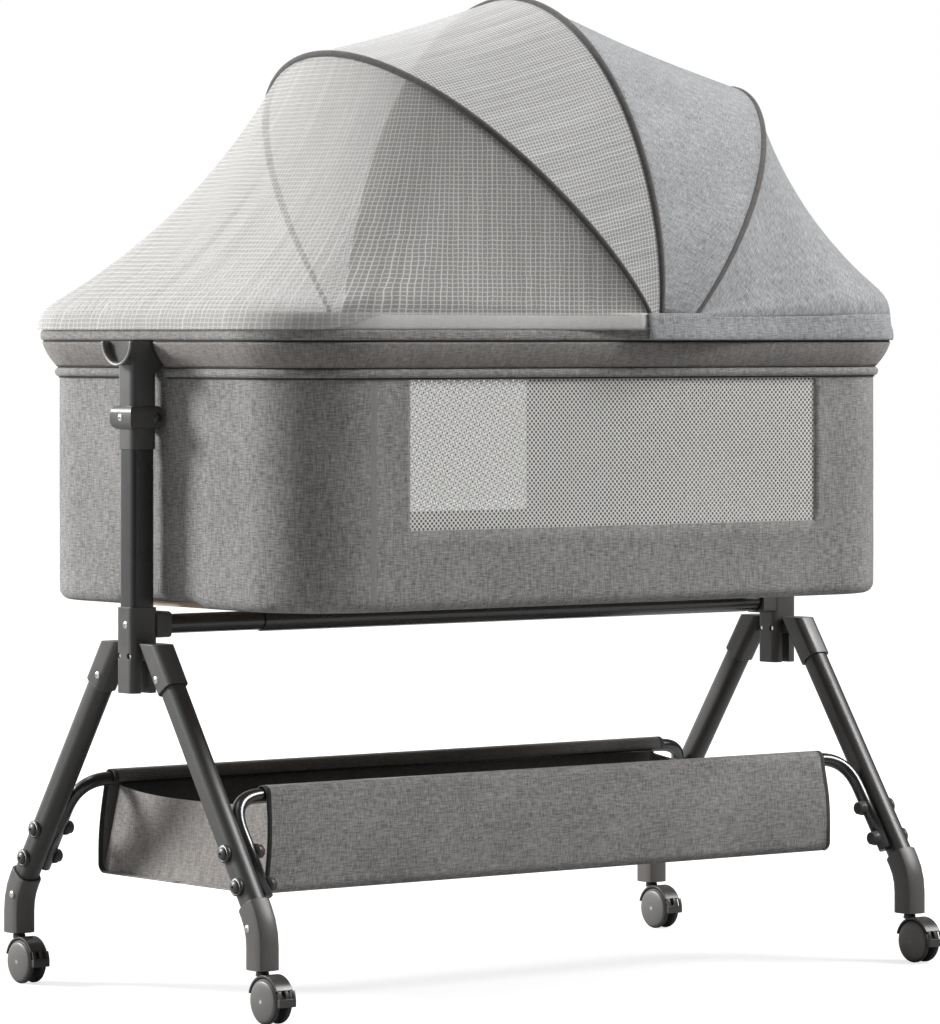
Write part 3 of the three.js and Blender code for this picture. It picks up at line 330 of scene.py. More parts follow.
# Mesh helpers
def new_piece(name, points, faces, material, body, slot, uvs=None, smooth=True):
    """A mesh piece that rides on a body. uvs holds each vertex's place on the flat cloth."""
    mesh = bpy.data.meshes.new(name)
    mesh.from_pydata([tuple(point) for point in points], [], faces)
    mesh.materials.append(material)
    mesh.polygons.foreach_set("use_smooth", [smooth] * len(mesh.polygons))
    if uvs is not None:
        layer = mesh.uv_layers.new(name="flat")
        for loop in mesh.loops:
            layer.data[loop.index].uv = uvs[loop.vertex_index]
    mesh.update()
    piece = bpy.data.objects.new(name, mesh)
    bpy.context.scene.collection.objects.link(piece)
    if body:
        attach(piece, body)
    return piece


def grid_faces(rows, columns, closed=False):
    faces = []
    for start in range(0, (rows - 1) * columns, columns):
        for column in range(columns if closed else columns - 1):
            after = (column + 1) % columns
            faces.append((start + column, start + after, start + columns + after, start + columns + column))
    return faces


def as_array(grid):
    return np.array([[tuple(point) for point in row] for row in grid])


def grid_uvs(grid):
    """Flat places for a grid of points: the row's length across and the column's length along."""
    points = as_array(grid)
    across = np.linalg.norm(np.diff(points, axis=1), axis=2)
    along = np.linalg.norm(np.diff(points, axis=0), axis=2)
    u = np.concatenate([[0], np.cumsum(across[len(grid) // 2])])
    v = np.concatenate([np.zeros((1, points.shape[1])), np.cumsum(along, axis=0)])
    return [place for line in v for place in zip(u, line)]


NET_GRAIN = math.radians(38)
NET_RISE_SHARE = 1.12
NET_TURN_X = -0.02
NET_TURN_RADIUS = 0.30


def upright_uvs(grid):
    """Flat places for a net whose threads run level and upright along its sides and fan out round its end."""
    uvs = []
    for point in (p for row in grid for p in row):
        x = point.x - NET_TURN_X
        y = abs(point.y)
        across = x * math.cos(NET_GRAIN) + y * math.sin(NET_GRAIN)
        if across < 0:
            across = NET_TURN_RADIUS * (math.atan2(y, -x) - math.pi / 2 + NET_GRAIN)
        uvs.append((across, point.z * NET_RISE_SHARE))
    return uvs


def grid_piece(name, grid, material, body, slot, thickness=0.0, uvs=None):
    points = [point for row in grid for point in row]
    faces = grid_faces(len(grid), len(grid[0]))
    piece = new_piece(name, points, faces, material, body, slot, uvs or grid_uvs(grid))
    if thickness:
        solid = piece.modifiers.new("thickness", "SOLIDIFY")
        solid.thickness = thickness
        solid.offset = 0
        apply_modifiers(piece)
    return piece


def apply_modifiers(piece):
    """Replaces a piece's mesh by what its modifiers make of it."""
    made = bpy.data.meshes.new_from_object(piece.evaluated_get(bpy.context.evaluated_depsgraph_get()))
    piece.modifiers.clear()
    piece.data = made


def loft_mesh(rings, closed=False):
    """Points and faces of a skin between rings, with caps at open ends."""
    count = len(rings[0])
    points = [point for ring in rings for point in ring]
    faces = grid_faces(len(rings), count, closed=True)
    last = len(points) - count
    if closed:
        faces += [(last + i, last + (i + 1) % count, (i + 1) % count, i) for i in range(count)]
    else:
        faces += [tuple(reversed(range(count))), tuple(range(last, len(points)))]
    return points, faces


def swept(path, section, up):
    """Rings of a section carried along a path. up fixes the section's x direction."""
    rings = []
    for before, point, after in zip([path[0], *path], path, [*path[1:], path[-1]]):
        tangent = (after - before).normalized()
        side = tangent.cross(up).normalized()
        cross = side.cross(tangent).normalized()
        rings.append([point + side * x + cross * y for x, y in section])
    return rings


def round_section(radius, sides):
    turns = [math.tau * i / sides for i in range(sides)]
    return [(radius * math.cos(turn), radius * math.sin(turn)) for turn in turns]


def curved(start, control, end, share):
    """A point on the curve from start to end that bends towards control."""
    return start * (1 - share) ** 2 + control * 2 * share * (1 - share) + end * share * share


def running(points):
    """The length run through at each of the points."""
    return [0.0, *accumulate(math.dist(a, b) for a, b in zip(points, points[1:]))]


def ring_uvs(rings, around):
    """Flat places on a skin of rings, given the places around one ring."""
    return [(run, place) for run in running([ring[0] for ring in rings]) for place in around]


def tube_uvs(rings, radius):
    sides = len(rings[0])
    return ring_uvs(rings, [math.tau * radius * i / sides for i in range(sides)])


def tube_piece(name, path, radius, sides, up, material, body, slot):
    rings = swept(path, round_section(radius, sides), up)
    return new_piece(name, *loft_mesh(rings), material, body, slot, tube_uvs(rings, radius))


def soften(piece, width, angle):
    """Rounds the edges sharper than an angle in degrees."""
    edges = piece.modifiers.new("edges", "BEVEL")
    edges.width = width
    edges.segments = 3
    edges.limit_method = "ANGLE"
    edges.angle_limit = math.radians(angle)
    edges.harden_normals = True


def dress(solid, material, bevel, angle):
    """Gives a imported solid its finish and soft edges."""
    solid.data.materials.clear()
    solid.data.materials.append(material)
    with bpy.context.temp_override(object=solid, active_object=solid, selected_objects=[solid]):
        bpy.ops.mesh.customdata_custom_splitnormals_clear()
    solid.data.polygons.foreach_set("use_smooth", [True] * len(solid.data.polygons))
    weld = solid.modifiers.new("weld", "WELD")
    weld.merge_threshold = 0.00002
    flat = solid.modifiers.new("flat", "DECIMATE")
    flat.decimate_type = "DISSOLVE"
    flat.angle_limit = math.radians(1.2)
    soften(solid, bevel, angle)
    normals = solid.modifiers.new("normals", "WEIGHTED_NORMAL")
    normals.weight = 90


def joined_piece(name, parts, material, body, slot, bevel):
    """One piece from several (points, faces) lists, with soft edges."""
    points, faces = [], []
    for more_points, more_faces in parts:
        start = len(points)
        points += more_points
        faces += [tuple(start + i for i in face) for face in more_faces]
    piece = new_piece(name, points, faces, material, body, slot)
    soften(piece, bevel, 35)
    apply_modifiers(piece)
    return piece


def lathe(profile, sides, origin, axis):
    """Points and faces of a profile of (radius, distance) turned about an axis. The ends close."""
    axis = Vector(axis).normalized()
    first = axis.orthogonal().normalized()
    second = axis.cross(first)
    rings = []
    for radius, distance in profile:
        centre = Vector(origin) + axis * distance
        rings.append([centre + first * x + second * y for x, y in round_section(radius, sides)])
    return loft_mesh(rings)


# Small screws: a domed bright head in a shallow seat
SCREW_RADIUS = 0.0042
SCREW_RISE = 0.0016


def dome(radius, rise, steps=6):
    turns = [math.pi / 2 * i / steps for i in range(steps)]
    return [(radius * math.cos(turn), rise * math.sin(turn)) for turn in turns]


def screw(name, place, normal, body, radius=SCREW_RADIUS, material=STEEL, slot="steel_pin"):
    head = [(radius, -0.001), (radius, 0.0), *dome(radius, SCREW_RISE)]
    head += [(radius * 0.3, SCREW_RISE), (radius * 0.22, SCREW_RISE * 0.45)]
    new_piece(name, *lathe(head, 28, place, normal), material, body, slot)


# Tub plan
shell_low, shell_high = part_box("tub_shell")
rim_low, rim_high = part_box("rim_ring")
net_low, net_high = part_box("window_net_front")
CORNER = 0.100
HALF_LENGTH = shell_high.x
HALF_WIDTH = shell_high.y
WINDOW_X = net_high.x + 0.0003
WINDOW_LOW = net_low.z - 0.0003
WINDOW_HIGH = net_high.z + 0.0003


def plan_outline(grow, step=0.008, marks=()):
    """The tub's plan, from the middle of the front side round anticlockwise: (point, outward)."""
    half_x = HALF_LENGTH + grow
    half_y = HALF_WIDTH + grow
    radius = CORNER + grow
    straight_x = HALF_LENGTH - CORNER
    straight_y = HALF_WIDTH - CORNER
    out = []

    def side(start, end, normal, places):
        start, end = Vector(start), Vector(end)
        length = (end - start).length
        inside = [place for place in places if 0 < place < length]
        stops = sorted({0.0, *inside, *np.arange(step, length - step / 3, step)})
        last = -1
        for stop in stops:
            if stop - last > 1e-6:
                last = stop
                out.append((start.lerp(end, stop / length), Vector(normal)))

    def corner(centre, first):
        count = max(6, round(radius * math.pi / 2 / step))
        for i in range(count):
            angle = math.radians(first + 90 * i / count)
            normal = Vector((math.cos(angle), math.sin(angle)))
            out.append((Vector(centre) + normal * radius, normal))

    window = [straight_x - WINDOW_X, straight_x + WINDOW_X]
    notch = [straight_y - mark for mark in marks] + [straight_y + mark for mark in marks]
    side((-straight_x, -half_y), (straight_x, -half_y), (0, -1), window)
    corner((straight_x, -straight_y), -90)
    side((half_x, -straight_y), (half_x, straight_y), (1, 0), notch)
    corner((straight_x, straight_y), 0)
    side((straight_x, half_y), (-straight_x, half_y), (0, 1), window)
    corner((-straight_x, straight_y), 90)
    side((-half_x, straight_y), (-half_x, -straight_y), (-1, 0), notch)
    corner((-straight_x, -straight_y), 180)
    return out


def cloth_waver(point, size, scale=7.0, seed=0.0):
    """A small smooth unevenness for hand-sewn cloth."""
    return size * noise.noise(Vector((point[0] * scale + seed, point[1] * scale, point[2] * scale)))


# The tub: an outer and an inner wall, a rounded lower edge and a floor, with windows in the long sides
SKIRT_DROP = 0.0062
SKIRT_RADIUS = 0.012
SKIRT_STRETCH = 0.060
BOARD_GAP_HALF = 0.078
WALL_STEP = 0.012


def skirt_lift(x, y):
    """1 where the lower edge is drawn up at the two stands, so that the board shows, 0 elsewhere."""
    if abs(x) < HALF_LENGTH - CORNER:
        return 0.0
    return max(0.0, 1 - (abs(y) / BOARD_GAP_HALF) ** 4) ** 0.5


def tub_profile():
    low = shell_low.z
    top = shell_high.z - 0.001
    bottom = [(out, low + 0.0004) for out in (-0.060, -0.030, -0.0138)]
    bottom.append((-0.0135, low + 0.0002))
    turn = [
        (SKIRT_RADIUS * (math.sin(math.radians(a)) - 1), low + SKIRT_RADIUS * (1 - math.cos(math.radians(a))))
        for a in range(0, 90, 15)
    ]
    heights = sorted({low + SKIRT_RADIUS, low + 0.03, low + 0.05, WINDOW_LOW, WINDOW_HIGH, top})
    walls = []
    for first, second in zip(heights, heights[1:]):
        count = max(1, round((second - first) / WALL_STEP))
        walls += [(0.0, first + (second - first) * i / count) for i in range(count)]
    return [*bottom, *turn, *walls, (0.0, top)]


def build_tub():
    outline = plan_outline(0.0)
    profile = tub_profile()
    runs = running([place for place, _ in outline])
    points, uvs = [], []
    for (grow, z), rise in zip(profile, running(profile)):
        for (place, normal), run in zip(outline, runs):
            in_window = abs(place.x) < WINDOW_X + 0.012 and abs(normal.y) > 0.99
            slack = 0.0
            if grow >= 0 and not (in_window and WINDOW_LOW - 0.012 < z < WINDOW_HIGH + 0.012):
                straight = abs(normal.x) < 0.01 or abs(normal.y) < 0.01
                slack = cloth_waver((place.x, place.y, z), 0.0016 if straight else 0.0009)
            inward = place - normal * (-grow + abs(slack))
            drop = 0.0
            if grow > -0.0137:
                above = max(0.0, 1 - (z - shell_low.z) / SKIRT_STRETCH)
                drop = SKIRT_DROP * above * (1 - skirt_lift(place.x, place.y))
            points.append(Vector((inward.x, inward.y, z - drop)))
            uvs.append((run, rise))
    columns = len(outline)
    faces = []
    for face in grid_faces(len(profile), columns, closed=True):
        centre = sum((points[i] for i in face), Vector()) / 4
        in_window = abs(centre.x) < WINDOW_X and WINDOW_LOW < centre.z < WINDOW_HIGH
        if not (in_window and abs(centre.y) > HALF_WIDTH - 0.05):
            faces.append(face)
    faces.append(tuple(reversed(range(columns))))
    cover = new_piece("tub_cover", points, faces, FABRIC, "tub", "heather_fabric", uvs)
    # The inner faces take the darker copy of the cloth: painted shade inside the tub.
    cover.data.materials.append(SHADED_INNER_FABRIC)
    solid = cover.modifiers.new("thickness", "SOLIDIFY")
    solid.thickness = 0.0034
    solid.offset = -1
    solid.material_offset = 1
    solid.material_offset_rim = 0
    apply_modifiers(cover)
    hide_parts("tub_shell")


WINDOW_LAP = 0.004
WINDOW_DEPTH = 0.0022
WINDOW_BOW = 0.0012


def build_windows():
    for row, side in ROWS.items():
        xs = np.linspace(-WINDOW_X - WINDOW_LAP, WINDOW_X + WINDOW_LAP, 60)
        zs = np.linspace(WINDOW_LOW - WINDOW_LAP, WINDOW_HIGH + WINDOW_LAP, 20)
        y_out = HALF_WIDTH - WINDOW_DEPTH
        grid = []
        for z in zs:
            rise = math.sin(math.pi * (z - WINDOW_LOW) / (WINDOW_HIGH - WINDOW_LOW))
            bows = [WINDOW_BOW * math.cos(math.pi * x / 2 / WINDOW_X) * rise for x in xs]
            grid.append([Vector((x, side * (y_out - bow), z)) for x, bow in zip(xs, bows)])
        # The back window takes the darker net: painted shade.
        material = WINDOW_NET if side < 0 else SHADED_BACK_WINDOW_NET
        net = grid_piece(f"window_mesh_{row}", grid, material, "tub", "pale_net")
        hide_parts(f"window_net_{row}")


# The rim: piping, flared band and roll, open where a sleeve's head comes up
NOTCH_HALF = 0.0175
RIM_OUT = rim_high.x - HALF_LENGTH


def rim_span(half):
    """One long half of the plan, from one sleeve to the other."""
    outline = plan_outline(0.0, marks=(NOTCH_HALF,))
    chosen = [item for item in outline if half * item[0].y >= NOTCH_HALF - 1e-6]
    return sorted(chosen, key=lambda item: math.atan2(-half * item[0].x, half * item[0].y))


def rim_piece(name, section, material, halves=ROWS):
    """A section carried along each half of the rim, or round the whole rim where half is 0."""
    for label, half in halves.items():
        outline = rim_span(half) if half else plan_outline(0.0)
        rings = [[Vector((*(place + normal * out), z)) for out, z in section] for place, normal in outline]
        uvs = ring_uvs(rings, running(section))
        full_name = f"{name}_{label}" if half else name
        mesh = loft_mesh(rings, closed=not half)
        piece = new_piece(full_name, *mesh, material, "tub", "heather_fabric", uvs)
        flip_outward(piece)
        if not half:
            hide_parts("rim_ring")


def flip_outward(piece):
    mesh = bmesh.new()
    mesh.from_mesh(piece.data)
    bmesh.ops.recalc_face_normals(mesh, faces=mesh.faces)
    mesh.to_mesh(piece.data)
    mesh.free()


def arc(centre, radius, start, end, steps, squash=1.0):
    """(out, z) points on an arc, angles in degrees from straight out, upwards positive."""
    angles = [math.radians(start + (end - start) * i / steps) for i in range(steps + 1)]
    return [(centre[0] + radius * math.cos(a), centre[1] + squash * radius * math.sin(a)) for a in angles]


def build_rim():
    low = rim_low.z
    top = rim_high.z
    piping_top = low + 0.0098
    band_top = top - 0.0120
    piping = arc((0.0010, (low + piping_top) / 2), 0.0042, -90, 90, 10, 1.12)
    rim_piece("rim_piping", [(-0.0002, low + 0.0002), *piping, (-0.0002, piping_top)], FABRIC)
    flare = []
    for share in (i / 10 for i in range(11)):
        flare.append((0.0026 + (RIM_OUT - 0.0044) * share + 0.0022 * math.sin(math.pi * share),
                      piping_top + 0.0008 + (band_top - piping_top - 0.0020) * share))
    back = [(min(out - 0.0030, 0.004), z + 0.0002) for out, z in reversed(flare[1:-1])]
    rim_piece("rim_band", [*flare, (0.004, band_top - 0.0012), *back], BAND_AND_END_SHADE_FABRIC)
    # Near-black strips along the seams under the roll, over the piping and under it: painted shade of the
    # creases.
    seams = (
        ("top", band_top, RIM_OUT - 0.0032, 0.0016),
        ("mid", piping_top, 0.0016, 0.0008),
        ("low", low - 0.0008, 0.0009, 0.0008),
    )
    for label, place, depth, half in seams:
        strip = [(0.0002, place - half), (depth, place - half + 0.0002), (depth + 0.0004, place),
                 (depth, place + half - 0.0002), (0.0002, place + half)]
        rim_piece(f"rim_seam_{label}", strip, BINDING_AND_SEAM_SHADE)
    roll_low = band_top + 0.0010
    edge = 0.0032
    inside = -0.007
    floor = shell_high.z + 0.0006
    roll = arc((RIM_OUT - edge, roll_low + edge), edge, -90, 0, 5)
    roll += arc((RIM_OUT - edge, top - edge), edge, 0, 90, 5)
    roll += arc((inside + edge, top - edge), edge, 90, 180, 5)
    rim_piece("rim_roll", [*roll, (inside, floor), (0.0, floor)], FABRIC, {"": 0})


# Canopy hoops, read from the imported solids: how far behind the pivot each one stands, and its curve
bracket_low, bracket_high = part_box("hoop_bracket_front")
PIVOT = Vector(((bracket_low.x + bracket_high.x) / 2, 0, (bracket_low.z + bracket_high.z) / 2))
HOOP_TUBE = 0.0042
HOOP_RADIUS = 0.004
HOOP_LUG_RADIUS = 0.008
HOOP_LUG_HALF = 0.00125
EYE_PROFILE = [
    (0.0, -HOOP_LUG_HALF), (HOOP_LUG_RADIUS, -HOOP_LUG_HALF), (HOOP_LUG_RADIUS, HOOP_LUG_HALF),
    (0.0, HOOP_LUG_HALF),
]
HOOP_SHAPES = {"rear": (0.031, 1.3), "mid": (0.0, 1.04), "front": (0.0, 1.0)}
FOOT_SWEEPS = {"rear": 0.0, "mid": 0.009, "front": 0.016}
FOOT_SWEEP_REACH = 0.055
FOOT_TAPER = 0.42
FOOT_TAPER_REACH = 0.075


def hoop_facts(name):
    """Lean, height and half width of a hoop's centre line, above its foot line."""
    points = np.array([tuple(v.co) for v in nodes[f"hoop_{name}"].data.vertices])
    foot_x = PIVOT.x + HOOP_SHAPES[name][0]
    reach = np.hypot(points[:, 0] - foot_x, points[:, 2] - PIVOT.z)
    far = points[reach > reach.max() - 0.0015]
    lean = math.atan2(far[:, 2].mean() - PIVOT.z, far[:, 0].mean() - foot_x)
    lugs = points[np.hypot(points[:, 0] - PIVOT.x, points[:, 2] - PIVOT.z) < HOOP_LUG_RADIUS + 0.001]
    return lean, reach.max() - HOOP_RADIUS, lugs[:, 1].max() - HOOP_LUG_HALF


HOOPS = {name: hoop_facts(name) for name in HOOP_SHAPES}


def on_hoop(name, angle, offset=0.0):
    """A point on a hoop's centre line. offset moves it off the hoop's plane, towards the front."""
    lean, height, half = HOOPS[name]
    behind, curve = HOOP_SHAPES[name]
    across = math.cos(angle)
    reach = height * math.sin(angle) ** curve
    sweep = FOOT_SWEEPS[name] * math.exp(-reach / FOOT_SWEEP_REACH) * min(1.0, reach / 0.012)
    return Vector((
        PIVOT.x + behind + reach * math.cos(lean) - offset * math.sin(lean) - sweep,
        -half * math.copysign(abs(across) ** curve, across),
        PIVOT.z + reach * math.sin(lean) + offset * math.cos(lean),
    ))


def hoop_angles(name, reach, count):
    """Evenly spaced angles along a hoop, from a given distance above its foot line."""
    first = math.asin((reach / HOOPS[name][1]) ** (1 / HOOP_SHAPES[name][1]))
    return [first + (math.pi - 2 * first) * i / (count - 1) for i in range(count)]


# The canopy's hem, over the rim's roll
HEM_OUT = 0.0195
HEM_BULGE = 0.0168
HEM_BULGE_REACH = 0.085
HEM_START_X = 0.013
HEM_THICKNESS = 0.0012
HEM_COLUMNS = 150
NET_OVER_HEM = (0.335, 0.400)
NET_OVER_HEM_OUT = 0.0050
HEM_LOW = rim_high.z + 0.0002
HEM_HIGH = rim_high.z + 0.0185
HOOD_SEAM_Z = rim_high.z - 0.0108


def resample(line, count):
    points = np.array([tuple(p) for p in line])
    run = running(points)
    wanted = np.linspace(0, run[-1], count)
    return [Vector([np.interp(w, run, points[:, axis]) for axis in range(3)]) for w in wanted]


def hem_part(start, side, z, inset=0.0, count=96):
    """The hem's plan from the front side to the back, round one end. It swells out over the hoops' feet."""
    chosen = []
    for place, normal in plan_outline(HEM_OUT - inset, step=0.006):
        bulge = HEM_BULGE * math.exp(-(((place.x - PIVOT.x) / HEM_BULGE_REACH) ** 2))
        point = place + normal * (bulge if abs(normal.y) > 0.99 else 0.0)
        if side * point.x >= side * start:
            chosen.append(Vector((*point, z)))
    chosen.sort(key=lambda p: math.atan2(p.y, side * (p.x - start)))
    y_out = max(abs(p.y) for p in chosen)
    return resample([Vector((start, -y_out, z)), *chosen, Vector((start, y_out, z))], count)


def build_hem():
    """The canopy's lower edge: a pale sewn hem along the nets. The hood's cloth runs on over the
    rim's roll to the seam under it."""
    pale = [
        (HEM_LOW + (HEM_HIGH - HEM_LOW) * share, 0.0012 * (1 - math.sin(math.pi * share)) + 0.001 * share)
        for share in (0.0, 0.15, 0.3, 0.5, 0.7, 0.85, 1.0)
    ]
    over_roll = HEM_OUT - RIM_OUT - 0.0011
    hood = [(HOOD_SEAM_Z, over_roll + 0.0008), (HOOD_SEAM_Z + 0.002, over_roll),
            ((HOOD_SEAM_Z + HEM_LOW) / 2, over_roll), (HEM_LOW, over_roll + 0.0004),
            (HEM_LOW + 0.006, 0.0), (HEM_LOW + 0.012, 0.0006), (HEM_HIGH, 0.001)]
    parts = (("hem_net", -1, HEM_NET, "pale_net", pale), ("hem_hood", 1, HOOD_FABRIC, "heather_fabric", hood))
    for name, side, material, slot, profile in parts:
        grid = [hem_part(HEM_START_X, side, z, inset, HEM_COLUMNS) for z, inset in profile]
        piece = grid_piece(name, grid, material, "tub", slot, HEM_THICKNESS)
        flip_outward(piece)


PANEL_COLUMNS = 80
PANEL_START = 0.012
CLOTH_THICKNESS = 0.0012
CLOTH_OFFSET = HOOP_TUBE * 0.6


def hoop_panel(name, back, front, rows, sag, material, node, slot, thickness):
    """Cloth stretched between two hoops. It dips a little between them."""
    back_angles, front_angles = (hoop_angles(hoop, PANEL_START, PANEL_COLUMNS) for hoop in (back, front))
    centre = Vector((PIVOT.x, 0, PIVOT.z))
    grid = []
    for share in (row / rows for row in range(rows + 1)):
        line = []
        for first, second in zip(back_angles, front_angles):
            start = on_hoop(back, first, CLOTH_OFFSET)
            point = start.lerp(on_hoop(front, second, -CLOTH_OFFSET), share)
            dip = sag * math.sin(math.pi * share) * math.sin(first)
            line.append(point + (centre - point).normalized() * dip)
        grid.append(line)
    lift_above_rim(grid, HEM_LOW + 0.004)
    piece = grid_piece(name, grid, material, None, slot, thickness)
    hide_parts(node)
    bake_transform(piece)


def lift_above_rim(grid, floor):
    """Keeps a panel's lower edge inside the hem."""
    for point in (p for row in grid for p in row):
        point.z = max(point.z, floor)


def rim_cloth(hoop, side, rows, sag, hem_rise, columns=PANEL_COLUMNS, ripple=0.0):
    """Cloth from a hoop down to the hem at one end, straight up out of the hem. The net's end runs down
    outside the hem."""
    start = PIVOT.x + (0.020 if side > 0 else -0.030)
    hem = hem_part(start, side, HEM_HIGH - 0.004, 0.0008, columns)
    if side < 0:
        for inside, outside in zip(hem, hem_part(start, side, HEM_LOW + 0.0004, -NET_OVER_HEM_OUT, columns)):
            share = (-inside.x - NET_OVER_HEM[0]) / (NET_OVER_HEM[1] - NET_OVER_HEM[0])
            share = min(1.0, max(0.0, share))
            inside.xyz = inside.lerp(outside, share * share * (3 - 2 * share))
    angles = hoop_angles(hoop, PANEL_START, columns)
    grid = []
    for share in (row / rows for row in range(rows + 1)):
        line = []
        for column, (angle, foot) in enumerate(zip(angles, hem)):
            top = on_hoop(hoop, angle, -side * CLOTH_OFFSET)
            swell = math.sin(angle)
            knee = foot + Vector((0, 0, hem_rise * swell))
            out = Vector((foot.x - PIVOT.x, foot.y, 0)).normalized()
            control = top.lerp(knee, 0.5) - out * sag * swell - Vector((0, 0, sag * 0.9 * swell))
            rise_share = 1 - min(0.5, hem_rise * swell / ((top - foot).length + 1e-6))
            if share < rise_share:
                point = curved(top, control, knee, share / rise_share)
            else:
                point = knee.lerp(foot, (share - rise_share) / (1 - rise_share))
            wave = math.sin(column * 0.9) * math.sin(math.pi * share) ** 0.5 * share if ripple else 0.0
            line.append(point + out * ripple * wave * swell)
        grid.append(line)
    smooth_grid(grid, 3)
    lift_above_rim(grid, HEM_LOW + (0.0004 if side < 0 else 0.004))
    return grid


def smooth_grid(grid, times):
    """Evens a grid's columns out between their fixed ends."""
    for _ in range(times):
        before = [[point.copy() for point in row] for row in grid]
        for row in range(1, len(grid) - 1):
            around = zip(before[row - 1], before[row], before[row + 1])
            grid[row] = [above * 0.25 + middle * 0.5 + below * 0.25 for above, middle, below in around]


def build_canopy():
    hoop_panel("hood_top", "rear", "mid", 18, 0.004, HOOD_FABRIC,
               "hood_top_panel", "heather_fabric", CLOTH_THICKNESS)
    hoop_panel("net_top", "mid", "front", 14, 0.003, TOP_NET,
               "net_top_panel", "pale_net", 0.0)

    grid = rim_cloth("rear", 1, 26, 0.026, 0.026)
    rear = grid_piece("hood_rear", grid, HOOD_FABRIC, None, "heather_fabric", CLOTH_THICKNESS)
    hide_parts("hood_rear_panel")
    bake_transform(rear)

    grid = rim_cloth("front", -1, 34, 0.040, 0.022, 110, 0.0012)
    front = grid_piece("net_front", grid, FRONT_NET, "canopy_front", "pale_net", uvs=upright_uvs(grid))
    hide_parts("net_front_panel")
    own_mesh(front)


def build_hoops():
    """Each hoop in its sewn sleeve, with a flat eye on the pivot pin at each end."""
    for name, (lean, _, half) in HOOPS.items():
        path = [on_hoop(name, angle) for angle in hoop_angles(name, 0.006, 97)]
        body = f"canopy_{name}"
        rings = swept(path, round_section(HOOP_TUBE, 16), Vector((-math.sin(lean), 0, math.cos(lean))))
        for ring, centre in zip(rings, path):
            near = math.exp(-max(0.0, centre.z - HEM_HIGH) / FOOT_TAPER_REACH)
            ring[:] = [centre + (point - centre) * (1 - FOOT_TAPER * near) for point in ring]
        sleeve = new_piece(f"hoop_sleeve_{name}", *loft_mesh(rings), PIPING, body, "dark_piping",
                           tube_uvs(rings, HOOP_TUBE))
        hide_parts(f"hoop_{name}")
        foot = on_hoop(name, hoop_angles(name, 0.014, 2)[0])
        wide = Vector((math.sin(lean), 0, -math.cos(lean))) * HOOP_RADIUS * (1 - FOOT_TAPER)
        for end, side in ROWS.items():
            y = side * half
            disc = lathe(EYE_PROFILE, 28, (PIVOT.x, y, PIVOT.z), (0, 1, 0))
            arm = [
                [Vector((x, y + b * HOOP_LUG_HALF, z)) + wide * a for a, b in SQUARE]
                for x, z in ((PIVOT.x, PIVOT.z), (foot.x, foot.z))
            ]
            parts = [disc, loft_mesh(arm)]
            joined_piece(f"hoop_eye_{name}_{end}", parts, CHARCOAL, body, "dark_piping", 0.0004)


# Stands and legs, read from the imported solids
LEG_LEAN = math.radians(34)
LEG_TOP = (0.036, 0.386)
FRAME_X = sum(corner.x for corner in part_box("post_right")) / 2
LEG_HALF = 0.0115
SOCKET_HALF = 0.014
FOOT_HALF = 0.0145
FOOT_SCREW = (0.223, 0.098)
SOCKET_SCREW_DOWN = 0.045
SOCKET_SCREW = (
    LEG_TOP[0] + SOCKET_SCREW_DOWN * math.sin(LEG_LEAN) - 0.006,
    LEG_TOP[1] - SOCKET_SCREW_DOWN * math.cos(LEG_LEAN),
)
LEG_SCREWS = (("socket", SOCKET_HALF, SOCKET_SCREW), ("foot", FOOT_HALF, FOOT_SCREW))
HUB_HALF = 0.0175
HUB_SCREW = (-0.0035, 0.4055)
COLLAR_HALF = 0.022
COLLAR_Z = 0.628
BUTTON_IN = 0.013
BUTTON_Y = 0.020
BUTTON_RADIUS = 0.0056
PULL_RIM_RADIUS = 0.0013
FINISHES = (
    (("hub_", "leg_socket"), CHARCOAL, 0.0007, 32),
    (("foot_elbow",), FOOT, 0.0007, 32),
    (("height_sleeve",), SLEEVE, 0.0007, 32),
    (("clamp_collar", "release_pull", "hoop_bracket"), CHARCOAL, 0.0005, 32),
    (("leg_tube",), LEG_TUBE, 0.0004, 52),
    (("post_", "crossbar"), TUBE, 0.0004, 52),
    (("pivot_pin",), STEEL, 0.0004, 52),
    (("floor_board",), LIGHTENED_BOARD, 0.0006, 52),
)


def build_rigid():
    for node in nodes:
        for starts, *finish in FINISHES:
            if node.startswith(starts):
                dress(nodes[node], *finish)


def build_screws():
    for end, out in ENDS.items():
        outward = (out, 0, 0)
        screw(f"hub_screw_{end}", (out * (FRAME_X + HUB_HALF), *HUB_SCREW), outward, "stand")
        screw(f"collar_screw_{end}", (out * (FRAME_X + COLLAR_HALF), 0, COLLAR_Z), outward, "tub")
        for row, side in ROWS.items():
            tag = f"{row}_{end}"
            for part, half, (y, z) in LEG_SCREWS:
                place = (out * (FRAME_X + half), side * y, z)
                screw(f"{part}_screw_{tag}", place, outward, f"legs_{row}")
            button = (out * (FRAME_X - BUTTON_IN), side * BUTTON_Y, COLLAR_Z)
            finish = (BUTTON_RADIUS, TUBE, "charcoal_plastic")
            screw(f"collar_button_{tag}", button, (0, side, 0), "tub", *finish)
        build_pull_rim(end, out)


